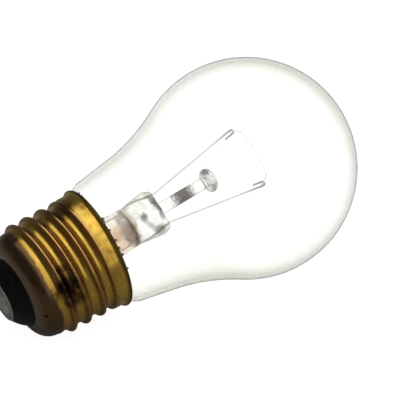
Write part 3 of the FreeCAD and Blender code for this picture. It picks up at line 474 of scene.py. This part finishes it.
# Stem: the heights between which its patterns are placed, the direction of the lamp's frame from which the
# painted glow of the brass comes, and the places of the band of painted shade where the tube turns into the
# press. Painted shade on the press: dark marks along its upper edge, at the hole of the exhaust tube, and at
# the lobe at its lower corner that a fine dark line joins to the hole.
STEM_HEIGHTS = (24.0, 44.0)
STEM_GLOW = (-0.763, 0.647, 0.0)
PAINTED_SHADE_BAND = ((0.0, "#000000"), (0.38, "#000000"), (0.455, "#303030"), (0.495, "#FFFFFF"),
                 (0.535, "#FFFFFF"), (0.585, "#000000"))
PRESS_SHADE_MARKS = (
    ((-4.9, 2.1, 39.4), 0.8, 0.7, "#8A8A84"),
    ((-4.2, 1.6, 40.0), 0.9, 0.85, "#5A5A56"),
    ((-3.3, 1.0, 40.5), 1.2, 0.95, "#1E1E1C"),
    ((-2.5, 0.5, 40.8), 1.25, 0.95, "#101010"),
    ((-1.7, -0.2, 40.9), 0.95, 0.95, "#242422"),
    ((-1.0, -0.9, 40.9), 0.9, 0.9, "#343430"),
    ((-0.5, -1.6, 40.6), 0.8, 0.85, "#50504A"),
    ((-2.8, -1.8, 36.2), 1.1, 0.95, "#2A2C28"),
    ((-2.1, -2.4, 36.3), 0.7, 0.7, "#7A7C76"),
    ((-1.4, -2.8, 36.6), 0.8, 0.7, "#7A7C76"),
    ((-0.8, -3.1, 37.0), 0.8, 0.7, "#7A7C76"),
    ((-0.2, -3.4, 37.5), 0.8, 0.7, "#7A7C76"),
    ((0.4, -3.5, 38.1), 0.8, 0.7, "#6A6C66"),
    ((1.0, -3.5, 38.6), 1.45, 0.9, "#40423C"),
)


def stem_material():
    """Lead glass: a tube tinted pinkish by a painted glow of the brass below, a brown band of painted shade
    where the tube is pinched into the press, and a clear, partly milky press with a painted dark outline and
    painted dark marks of shade."""
    material, tree, shader = new_material("pressed_stem_glass", IOR=1.45, Roughness=0.05)
    place, height = lamp_space(tree)
    # uneven grain about 1.7 mm wide, for milky flaws of the glass and the ragged edges of the painted shade
    flaw = add(tree, "ShaderNodeTexNoise", {"Vector": place, "Scale": 0.6, "Detail": 4.0, "Roughness": 0.65})
    level = add(tree, "ShaderNodeMath", {0: flaw, 1: 3.0, 2: height}, operation="MULTIPLY_ADD")
    share = add(tree, "ShaderNodeMapRange", {
        "Value": level, "From Min": STEM_HEIGHTS[0], "From Max": STEM_HEIGHTS[1]})
    # painted glow: the side toward the brass is tinted pinkish, and the band there browner
    aside = add(tree, "ShaderNodeVectorMath", {0: place, 1: STEM_GLOW}, operation="DOT_PRODUCT")
    glow = add(tree, "ShaderNodeMapRange", {"Value": aside, "From Min": 4.5, "From Max": 0.5},
               interpolation_type="SMOOTHSTEP")
    tube = add(tree, "ShaderNodeMix", {0: glow, 6: "#FFFDF7", 7: "#F7EADB"}, data_type="RGBA")
    band = add(tree, "ShaderNodeMix", {0: glow, 6: "#B4A898", 7: "#6A4E2C"}, data_type="RGBA")
    # painted shade: a dark band where the tube turns into the press
    shade_band = add(tree, "ShaderNodeValToRGB", {0: share}, PAINTED_SHADE_BAND)
    pressed = add(tree, "ShaderNodeMapRange", {"Value": share, "From Min": 0.52, "From Max": 0.57})
    milk = add(tree, "ShaderNodeMapRange", {"Value": flaw, "From Min": 0.5, "From Max": 0.72})
    press = add(tree, "ShaderNodeMix", {0: milk, 6: "#FAFBF5", 7: "#B4B6AE"}, data_type="RGBA")
    colour = add(tree, "ShaderNodeMix", {0: pressed, 6: tube, 7: press}, data_type="RGBA")
    colour = add(tree, "ShaderNodeMix", {0: shade_band, 6: colour, 7: band}, data_type="RGBA")
    # painted shade: dark marks along the press's edge and at the exhaust hole
    colour = spotted(tree, place, flaw, 1.5, colour, PRESS_SHADE_MARKS)
    # painted shade where the eye looks along the press
    colour = dark_outline(tree, colour, "#3E3F3A", pressed)
    clear = add(tree, "ShaderNodeMapRange", {"Value": shade_band, "To Min": 0.9, "To Max": 0.6})
    clear = add(tree, "ShaderNodeMath", {0: clear, 1: pressed}, operation="MAXIMUM")
    feed(tree, shader, {"Base Color": colour, "Transmission Weight": clear})
    pass_light(tree, shader)
    return material


# Rod: the heights between which its patch is placed and the places of that patch, and the heights between
# which it turns into the button. Painted shade on the button: a dark mark at the knob at its upper end and a
# grey one along its edge toward the crown.
ROD_HEIGHTS = (43.0, 63.0)
ROD_PATCH = ((0.0, "#000000"), (0.235, "#000000"), (0.32, "#FFFFFF"), (0.45, "#FFFFFF"), (0.53, "#000000"))
BUTTON_HEIGHTS = (52.2, 53.2)
BUTTON_SHADE_MARKS = (
    ((-3.7, 1.3, 53.7), 1.3, 0.95, "#3C3C3A"),
    ((-1.0, -1.4, 54.3), 1.2, 0.7, "#7A7A78"),
)


def rod_material():
    """Drawn glass rod and its pressed button, with a ragged grey patch of getter burnt on the rod, painted
    dark marks of shade on the button, and painted shade where the eye looks along the glass.
    """
    material, tree, shader = new_material("drawn_glass_rod", IOR=1.45, Roughness=0.05)
    place, height = lamp_space(tree)
    # ragged grain about 0.4 mm wide
    flaw = add(tree, "ShaderNodeTexNoise", {"Vector": place, "Scale": 2.4, "Detail": 5.0, "Roughness": 0.8})
    level = add(tree, "ShaderNodeMath", {0: flaw, 1: 7.0, 2: height}, operation="MULTIPLY_ADD")
    share = add(tree, "ShaderNodeMapRange", {
        "Value": level, "From Min": ROD_HEIGHTS[0], "From Max": ROD_HEIGHTS[1]})
    patch = add(tree, "ShaderNodeValToRGB", {0: share}, ROD_PATCH)
    button = add(tree, "ShaderNodeMapRange", {
        "Value": height, "From Min": BUTTON_HEIGHTS[0], "From Max": BUTTON_HEIGHTS[1]})
    colour = add(tree, "ShaderNodeMix", {0: button, 6: "#F6F6F3", 7: "#F4F4F2"}, data_type="RGBA")
    colour = add(tree, "ShaderNodeMix", {0: patch, 6: colour, 7: "#6C6460"}, data_type="RGBA")
    # painted shade marks on the button
    colour = spotted(tree, place, flaw, 1.5, colour, BUTTON_SHADE_MARKS)
    colour = dark_outline(tree, colour, "#4C4C48", 0.8)
    solid = add(tree, "ShaderNodeMath", {0: button, 1: 0.3, 2: patch}, operation="MULTIPLY_ADD")
    clear = add(tree, "ShaderNodeMapRange", {"Value": solid, "To Min": 1.0, "To Max": 0.35})
    feed(tree, shader, {"Base Color": colour, "Transmission Weight": clear})
    pass_light(tree, shader)
    return material


def lead_material():
    """Nickel-plated iron lead, drawn and bright, so thin that it shows as a pale grey line, and duller at
    the fold, which the heat of the filament reached."""
    material, tree, shader = new_material("nickel_plated_lead", Roughness=0.5)
    _, height = lamp_space(tree)
    folded = add(tree, "ShaderNodeMapRange", {"Value": height, "From Min": 58.0, "From Max": 63.5})
    colour = add(tree, "ShaderNodeMix", {0: folded, 6: "#E4E4E2", 7: "#9C9C9A"}, data_type="RGBA")
    feed(tree, shader, {"Base Color": colour})
    return material


def mottled(name, tones, grain, roughness, bump, **sockets):
    """A finish of two tones that change over about one grain. Its roughness, between two values, and its
    height come from the same pattern. Grain and bump are in millimetres."""
    material, tree, shader = new_material(name, **sockets)
    place, _ = lamp_space(tree)
    noise = add(tree, "ShaderNodeTexNoise", {
        "Vector": place, "Scale": 1 / grain, "Detail": 5.0, "Roughness": 0.6})
    colour = add(tree, "ShaderNodeValToRGB", {0: noise}, ((0.35, tones[0]), (0.65, tones[1])))
    gloss = add(tree, "ShaderNodeMapRange", {
        "Value": noise, "From Min": 0.3, "From Max": 0.7, "To Min": roughness[0], "To Max": roughness[1]})
    relief = add(tree, "ShaderNodeBump", {"Height": noise, "Strength": 0.5, "Distance": bump * MM})
    feed(tree, shader, {"Base Color": colour, "Roughness": gloss, "Normal": relief})
    return material


def blown_outline():
    """Corners of the blown glass, worked out as tangent arcs and lines, as a glass maker's drawing gives
    them: up the outer wall from the end of the neck to the crown's pole, and back down the inner wall."""
    crown_up = OVERALL_LENGTH - CROWN_RADIUS
    end_up = RIM_HEIGHT - NECK_END_DEPTH
    cone_foot = np.array([NECK_RADIUS, RIM_HEIGHT + NECK_HEIGHT])
    crown_rise = crown_up - cone_foot[1]
    neck_slope = math.atan(NECK_FLARE_SHARE * (CROWN_RADIUS - NECK_RADIUS) / crown_rise)
    sine, cosine = math.sin(neck_slope), math.cos(neck_slope)
    cone_back = crown_rise * cosine - NECK_RADIUS * sine
    cone_aside = crown_rise * sine + NECK_RADIUS * cosine + FLANK_RADIUS
    cone_length = cone_back - math.sqrt((CROWN_RADIUS + FLANK_RADIUS) ** 2 - cone_aside ** 2)
    cone_top = cone_foot + cone_length * np.array([sine, cosine])
    flank_centre = cone_top + FLANK_RADIUS * np.array([cosine, -sine])
    crown_centre = np.array([0.0, crown_up])
    join = crown_centre + (flank_centre - crown_centre) * CROWN_RADIUS / (CROWN_RADIUS + FLANK_RADIUS)
    join_slope = math.atan2(crown_up - join[1], join[0])
    neck_turn = cone_foot - NECK_TURN_RADIUS * np.array([cosine - math.cos(NECK_TURN),
                                                         math.sin(NECK_TURN) - sine])
    slope_across = NECK_END_RADIUS + NECK_ROOT_RADIUS * (1 - math.cos(NECK_TURN))
    slope = np.array([slope_across, neck_turn[1] - (neck_turn[0] - slope_across) / math.tan(NECK_TURN)])
    root = np.array([NECK_END_RADIUS, slope[1] - NECK_ROOT_RADIUS * math.sin(NECK_TURN)])

    def inward(corner, angle):
        """The inner wall's corner: one wall thickness in from the outer corner, square to the wall."""
        return corner + GLASS_WALL * np.array([-math.cos(angle), math.sin(angle)])

    return [
        (NECK_END_RADIUS, end_up),
        tuple(root),
        (*slope, NECK_ROOT_RADIUS, -1),
        tuple(neck_turn),
        (*cone_foot, NECK_TURN_RADIUS, 1),
        tuple(cone_top),
        (*join, FLANK_RADIUS, -1),
        (0.0, OVERALL_LENGTH, CROWN_RADIUS, 1),
        (0.0, OVERALL_LENGTH - GLASS_WALL),
        (*inward(join, join_slope), CROWN_RADIUS - GLASS_WALL, -1),
        (*inward(cone_top, neck_slope), FLANK_RADIUS + GLASS_WALL, 1),
        tuple(inward(cone_foot, neck_slope)),
        (*inward(neck_turn, NECK_TURN), NECK_TURN_RADIUS - GLASS_WALL, -1),
        tuple(inward(slope, NECK_TURN)),
        (*inward(root, 0.0), NECK_ROOT_RADIUS + GLASS_WALL, 1),
        (NECK_END_RADIUS - GLASS_WALL, end_up),
    ]


def smooth_step(share):
    """A share from 0 to 1, eased at both ends."""
    share = np.clip(share, 0.0, 1.0)
    return share * share * (3 - 2 * share)


def knuckle(share):
    """How deep the rolled groove is at a share of one pitch from the crest: a narrow arc over the crest and
    a wide arc through the root, which meet at one slope. An arc of radius R is R less the square root of
    (R squared less offset squared) deep at an offset from its middle."""
    depth = BAND_RADIUS - THREAD_ROOT_RADIUS
    half = THREAD_PITCH / 2
    slope = 2 * math.atan(depth / half)
    crest = half * THREAD_CREST_SHARE
    crest_radius = crest / math.sin(slope)
    root_radius = (half - crest) / math.sin(slope)
    offset = np.abs(share - np.round(share)) * THREAD_PITCH
    near = np.minimum(offset, crest)
    far = np.minimum(half - offset, half - crest)
    over = (crest_radius - np.sqrt(crest_radius ** 2 - near ** 2)) / depth
    through = 1 - (root_radius - np.sqrt(root_radius ** 2 - far ** 2)) / depth
    return np.where(offset <= crest, over, through)


def shell_surface(angle, share):
    """The outer face of the screw shell: radius, height and groove depth at an angle and a share. The share
    runs from 0 at the lip over the quarter-round shoulder to 1, up the thread to 2 and over the bead to 3.
    The thread is the knuckle at height over pitch less angle over turn, and the bead rises as a sine
    squared and falls as an arc."""
    tilt = (1 - share) * math.pi / 2
    shoulder_radius = THREAD_ROOT_RADIUS - SHOULDER_RADIUS + SHOULDER_RADIUS * np.cos(tilt)
    shoulder_height = RIM_HEIGHT - SHOULDER_DEPTH - SHOULDER_RADIUS * np.sin(tilt)

    low, high = RIM_HEIGHT - SHOULDER_DEPTH, RIM_HEIGHT - RIM_BEAD_LENGTH
    thread_height = low + (high - low) * (share - 1)
    below = RIM_HEIGHT - thread_height
    turns = (-below - THREAD_PHASE) / THREAD_PITCH - angle / TURN
    start = smooth_step((below - THREAD_FADE_DEPTH) / THREAD_FADE_LENGTH)
    finish = smooth_step((THREAD_RUNOUT_DEPTH - below) / THREAD_RUNOUT_LENGTH)
    groove = 1 - (1 - start * knuckle(turns)) * finish
    thread_radius = THREAD_ROOT_RADIUS + (BAND_RADIUS - THREAD_ROOT_RADIUS) * (1 - groove)

    reach = share - 2
    bead_height = RIM_HEIGHT - RIM_BEAD_LENGTH * (1 - reach)
    rise = np.clip((reach - RIM_BEAD_START) / (RIM_BEAD_PEAK - RIM_BEAD_START), 0, 1)
    fall = np.clip((reach - RIM_BEAD_PEAK) / (1 - RIM_BEAD_PEAK), 0, 1)
    bead_radius = BAND_RADIUS + (RIM_BEAD_RADIUS - BAND_RADIUS) * np.sin(rise * math.pi / 2) ** 2
    bead_radius -= (RIM_BEAD_RADIUS - RIM_EDGE_RADIUS) * (1 - np.sqrt(1 - RIM_BEAD_FALL * fall ** 2))

    parts = [share <= 1, share <= 2]
    radius = np.select(parts, [shoulder_radius, thread_radius], bead_radius)
    height = np.select(parts, [shoulder_height, thread_height], bead_height)
    return radius, height, np.select(parts, [1.0, groove], 0.0)


def shell_points(angle, share):
    """Points (r cos a, r sin a, z) of the shell's outer face."""
    radius, height, _ = shell_surface(angle, share)
    return np.stack([radius * np.cos(angle), radius * np.sin(angle), height], -1)


def build_shell(material):
    """The outer face as shell_surface gives it and an inner face one sheet thickness in along the normals,
    with fewer rings of points, joined at the lip and the rim. A normal is the cross product of two short
    steps, round the axis and along the outline."""
    angles = TURN * np.arange(SHELL_STEPS) / SHELL_STEPS
    shares = np.concatenate([
        np.arange(SHOULDER_RINGS) / SHOULDER_RINGS,
        1 + np.arange(THREAD_RINGS) / THREAD_RINGS,
        2 + np.arange(BEAD_RINGS + 1) / BEAD_RINGS])
    angle, share = np.broadcast_arrays(angles[:, None], shares[None, :])
    outer = shell_points(angle, share)
    tiny = 1e-4
    further, nearer = np.minimum(share + tiny, 3), np.maximum(share - tiny, 0)
    around = shell_points(angle + tiny, share) - shell_points(angle - tiny, share)
    along = shell_points(angle, further) - shell_points(angle, nearer)
    normal = np.cross(around, along)
    normal /= np.linalg.norm(normal, axis=-1, keepdims=True)
    inner = (outer - normal * SHELL_WALL)[:, ::-INNER_STRIDE]
    points = np.concatenate([outer, inner], 1)
    _, _, groove = shell_surface(angle, share)
    groove = np.concatenate([groove, groove[:, ::-INNER_STRIDE]], 1)
    faces = grid_faces(SHELL_STEPS, points.shape[1], True, True)
    piece = new_piece("rolled_shell", points, faces, LAMP, material, 60.0,
                      {"groove": groove})
    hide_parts("screw_shell")


def rounded_path(corners, reach, spacing):
    """Points along straight runs with rounded corners: each corner c gives way to the curve (1-t)^2 a + 2 t
    (1-t) c + t^2 b between the points a and b that lie one reach before and after it."""
    corners = np.array(corners, float)
    pieces = [corners[:1]]
    share = np.linspace(0, 1, 9)[:, None]
    for before, corner, after in zip(corners, corners[1:], corners[2:]):
        a = corner + (before - corner) / np.linalg.norm(before - corner) * reach
        b = corner + (after - corner) / np.linalg.norm(after - corner) * reach
        pieces.append((1 - share) ** 2 * a + 2 * share * (1 - share) * corner + share ** 2 * b)
    points = np.concatenate(pieces + [corners[-1:]])
    length = np.concatenate([[0.0], np.cumsum(np.linalg.norm(np.diff(points, axis=0), axis=1))])
    along = np.linspace(0, length[-1], int(length[-1] / spacing) + 1)
    return np.stack([np.interp(along, length, points[:, k]) for k in range(3)], 1), along


def unit(vectors):
    """Vectors of length one."""
    return vectors / np.linalg.norm(vectors, axis=1, keepdims=True)


def build_filament(material):
    """The coiled filament: a wire round the path p(s) at p + r (n cos k + b sin k), with k one turn for
    each pitch of s, n along the lamp and b across the path, and a ring of points round that wire."""
    ring = [(FILAMENT_CIRCLE * math.cos(turn), FILAMENT_CIRCLE * math.sin(turn), HELD_UP)
            for turn in np.radians(SUPPORT_TURNS)]
    corners = [(HELD_ACROSS, -FILAMENT_TAIL, HELD_UP), (HELD_ACROSS, FILAMENT_TAIL, HELD_UP), *ring,
               (-HELD_ACROSS, FILAMENT_TAIL, HELD_UP), (-HELD_ACROSS, -FILAMENT_TAIL, HELD_UP)]
    path, along = rounded_path(corners, FILAMENT_BEND, COIL_PITCH / COIL_STEPS)
    forward = unit(np.gradient(path, axis=0))
    upward = np.array([0.0, 0.0, 1.0])
    across = np.cross(forward, upward)
    wound = TURN * along[:, None] / COIL_PITCH
    outward = upward * np.cos(wound) + across * np.sin(wound)
    coil = path + (COIL_RADIUS - COIL_WIRE) * outward
    tangent = unit(np.gradient(coil, axis=0))
    beside = unit(np.cross(tangent, outward))
    level = np.cross(beside, tangent)
    sides = (TURN * np.arange(WIRE_SIDES) / WIRE_SIDES)[:, None]
    points = coil[:, None] + COIL_WIRE * (level[:, None] * np.cos(sides) + beside[:, None] * np.sin(sides))
    points[0], points[-1] = coil[0], coil[-1]
    faces = grid_faces(len(coil), WIRE_SIDES, False, True)
    piece = new_piece("wound_filament", points, faces, MOUNT, material, 80.0)
    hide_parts("filament")


def build_crumbs(material):
    """Crumbs of cement squeezed out between neck and rim: small uneven balls, size times (1 + wave) round
    each place, with the wave a product of sines of the tilt and of the angle round it."""
    rng = np.random.default_rng(7)
    turns = np.radians(np.concatenate([CRUMB_TURNS, rng.uniform(*HIDDEN_ARC, HIDDEN_CRUMBS) + CAMERA_TURN]))
    count = len(turns)
    size = np.where(np.arange(count) < len(CRUMB_TURNS), CRUMB_SIZE, rng.uniform(*HIDDEN_SIZES, count))
    centre = np.stack([CRUMB_RADIUS * np.cos(turns), CRUMB_RADIUS * np.sin(turns),
                       RIM_HEIGHT + rng.uniform(*CRUMB_RISE, count)], 1)
    tilt = np.linspace(0, math.pi, CRUMB_ROWS)[None, :, None]
    around = (TURN * np.arange(CRUMB_COLUMNS) / CRUMB_COLUMNS)[None, None, :]
    phase = rng.uniform(0, TURN, (2, count, 1, 1))
    wave = np.sin(3 * tilt + phase[0]) * np.sin(2 * around + phase[1]) * np.sin(tilt)
    reach = size[:, None, None] * (1 + CRUMB_UNEVENNESS * wave)
    points = np.stack([reach * np.sin(tilt) * np.cos(around), reach * np.sin(tilt) * np.sin(around),
                       reach * np.cos(tilt)], -1) + centre[:, None, None]
    faces = grid_faces(CRUMB_ROWS, CRUMB_COLUMNS, False, True)
    faces = (faces[None] + (CRUMB_ROWS * CRUMB_COLUMNS * np.arange(count))[:, None, None]).reshape(-1, 4)
    new_piece("cement_crumbs", points, faces, LAMP, material, 60.0)


def seen_white(tree, seen, gloss, rest):
    """A strength that is one value for camera and transmission rays, one more for glossy rays and one for
    the rest."""
    path = add(tree, "ShaderNodeLightPath").outputs
    eye = add(tree, "ShaderNodeMath", {0: path["Is Camera Ray"], 1: path["Is Transmission Ray"]},
              operation="MAXIMUM")
    shine = add(tree, "ShaderNodeMix", {0: path["Is Glossy Ray"], 2: rest, 3: gloss})
    return add(tree, "ShaderNodeMix", {0: eye, 2: shine, 3: seen})


def build_stage():
    """A wide pale floor, and a room that is white to the eye and soft to the object."""
    mesh = bpy.data.meshes.new("floor")
    corners = [(FLOOR_REACH * x, FLOOR_REACH * y, 0.0) for x, y in ((-1, -1), (1, -1), (1, 1), (-1, 1))]
    mesh.from_pydata(corners, [], [(0, 1, 2, 3)])
    floor = bpy.data.objects.new("floor", mesh)
    bpy.context.scene.collection.objects.link(floor)
    material, tree, shader = new_material("pale_floor", Base_Color="#747474", Roughness=0.9,
                                          Emission_Color="#FFFFFF")
    mesh.materials.append(material)
    feed(tree, shader, {"Emission Strength": seen_white(tree, FLOOR_GLOW, 0.0, FLOOR_LIGHT)})

    world = bpy.data.worlds.new("studio")
    world.use_nodes = True
    bpy.context.scene.world = world
    tree = world.node_tree
    feed(tree, tree.nodes["Background"], {"Color": "#FFFFFF",
                                          "Strength": seen_white(tree, 1.0, ROOM_GLOSS, ROOM_LIGHT)})


def build_camera():
    """The camera in the photograph's direction, moved until the rim's centre lies on its pixel. Returns the
    direction from the object to the camera."""
    sin_a, cos_a = math.sin(CAMERA_AZIMUTH), math.cos(CAMERA_AZIMUTH)
    sin_e, cos_e = math.sin(CAMERA_ELEVATION), math.cos(CAMERA_ELEVATION)
    right = np.array([cos_a, sin_a, 0.0])
    back = np.array([sin_a * cos_e, -cos_a * cos_e, sin_e])
    up = np.array([-sin_a * sin_e, cos_a * sin_e, cos_e])
    rim = placed(np.array([0.0, 0.0, RIM_HEIGHT]), LAMP)
    across = (RIM_PIXEL[0] - FRAME_SIDE / 2) / PIXELS_PER_MM
    upward = (FRAME_SIDE / 2 - RIM_PIXEL[1]) / PIXELS_PER_MM
    place = rim - across * right - upward * up + CAMERA_DISTANCE * back
    data = bpy.data.cameras.new("camera")
    data.sensor_width = SENSOR_WIDTH
    data.lens = SENSOR_WIDTH * CAMERA_DISTANCE * PIXELS_PER_MM / FRAME_SIDE
    data.clip_start, data.clip_end = 0.01, 10.0
    camera = bpy.data.objects.new("camera", data)
    matrix = np.eye(4)
    matrix[:3] = np.stack([right, up, back, place * MM], 1)
    bpy.context.scene.collection.objects.link(camera)
    camera.matrix_world = Matrix(matrix.tolist())
    bpy.context.scene.camera = camera
    return back


def add_soft_boxes(back):
    """Rectangles of light that face the axis, long along it and just wide enough to meet side by side."""
    axis = LAMP[:3, 2]
    aside = np.cross(back, axis)
    aside /= np.linalg.norm(aside)
    facing = np.cross(axis, aside)
    width = 2 * BOX_DISTANCE * math.tan(math.radians(BOX_SPAN / 2))
    middle = placed(np.array([0.0, 0.0, RIM_HEIGHT]), LAMP) * MM
    for number, (turn, brightness) in enumerate(SOFT_BOXES, start=1):
        around = math.radians(turn)
        outward = math.cos(around) * facing + math.sin(around) * aside
        place = middle + BOX_DISTANCE * outward + BOX_SHIFT * axis
        matrix = np.eye(4)
        matrix[:3] = np.stack([np.cross(axis, outward), axis, outward, place], 1)
        data = bpy.data.lights.new(f"soft_box_{number}", "AREA")
        data.shape = "RECTANGLE"
        data.size, data.size_y = width, BOX_LENGTH
        data.energy = brightness * math.pi * width * BOX_LENGTH
        box = bpy.data.objects.new(data.name, data)
        box.visible_camera = False
        bpy.context.scene.collection.objects.link(box)
        box.matrix_world = Matrix(matrix.tolist())


glass = glass_material()
brass = brass_material()
stem_glass = stem_material()
rod_glass = rod_material()
# poured black glass: satin where the mould chilled it, with faint grey dust
black_glass = mottled("poured_black_glass", ("#020202", "#080808"), grain=1.5, roughness=(0.2, 0.35),
                      bump=0.04, Specular_IOR_Level=0.15)
# tinned brass disc: grey, dull, scratched by the holder's tab
contact_metal = mottled("tinned_contact", ("#6A665F", "#A19D96"), grain=0.8, roughness=(0.35, 0.6),
                        bump=0.04, Metallic=0.9)
# tin and lead solder, dulled by air
solder = mottled("dull_solder", ("#8A8782", "#B8B5AE"), grain=0.9, roughness=(0.3, 0.55), bump=0.08,
                 Metallic=0.9)
# baked basing cement, a chalky tan
cement = mottled("baked_cement", ("#7C6650", "#A68C6C"), grain=0.5, roughness=(0.8, 0.95), bump=0.1)
lead_metal = lead_material()
# copper-clad seal wire, dulled pale grey by the flame
seal_metal = mottled("flamed_seal_wire", ("#D2C8C0", "#E2DAD4"), grain=0.7, roughness=(0.5, 0.6), bump=0.01)
# tinned copper lead outside the glass, dulled by air
copper = mottled("tinned_copper", ("#B8A898", "#D4C8BC"), grain=0.7, roughness=(0.3, 0.5), bump=0.01,
                 Metallic=0.6)
# tungsten and molybdenum, fine and bright, painted near white: a painted wash of the light behind them, which
# turns them to a pale line
tungsten = mottled("wound_tungsten", ("#F2F2F2", "#FAFAFA"), grain=0.3, roughness=(0.5, 0.6), bump=0.0)
# crumbs of cement that the heat has scorched to a matt dark brown
scorched = mottled("scorched_cement", ("#3E2A1C", "#7A5A3E"), grain=0.3, roughness=(0.7, 0.9), bump=0.05)

turned("blown_bulb", blown_outline(), LAMP, glass, "clear_glass", "glass_envelope")
build_shell(brass)
build_filament(tungsten)
build_crumbs(scorched)

FINISHES = {
    "glass_stem": stem_glass, "exhaust_tube": stem_glass, "arbor_rod": rod_glass,
    "insulator": black_glass, "centre_contact": contact_metal, "basing_cement": cement,
    "contact_solder": solder, "shell_solder": solder,
    "contact_lead": copper, "shell_lead": copper,
    "seal_wire_a": seal_metal, "seal_wire_b": seal_metal,
    "inner_lead_a": lead_metal, "inner_lead_b": lead_metal,
    "support_wire_1": tungsten, "support_wire_2": tungsten, "support_wire_3": tungsten,
}
for name, material in FINISHES.items():
    nodes[name].data.materials.clear()
    nodes[name].data.materials.append(material)

build_stage()
add_soft_boxes(build_camera())

scene = bpy.context.scene
scene.view_settings.view_transform = "Standard"
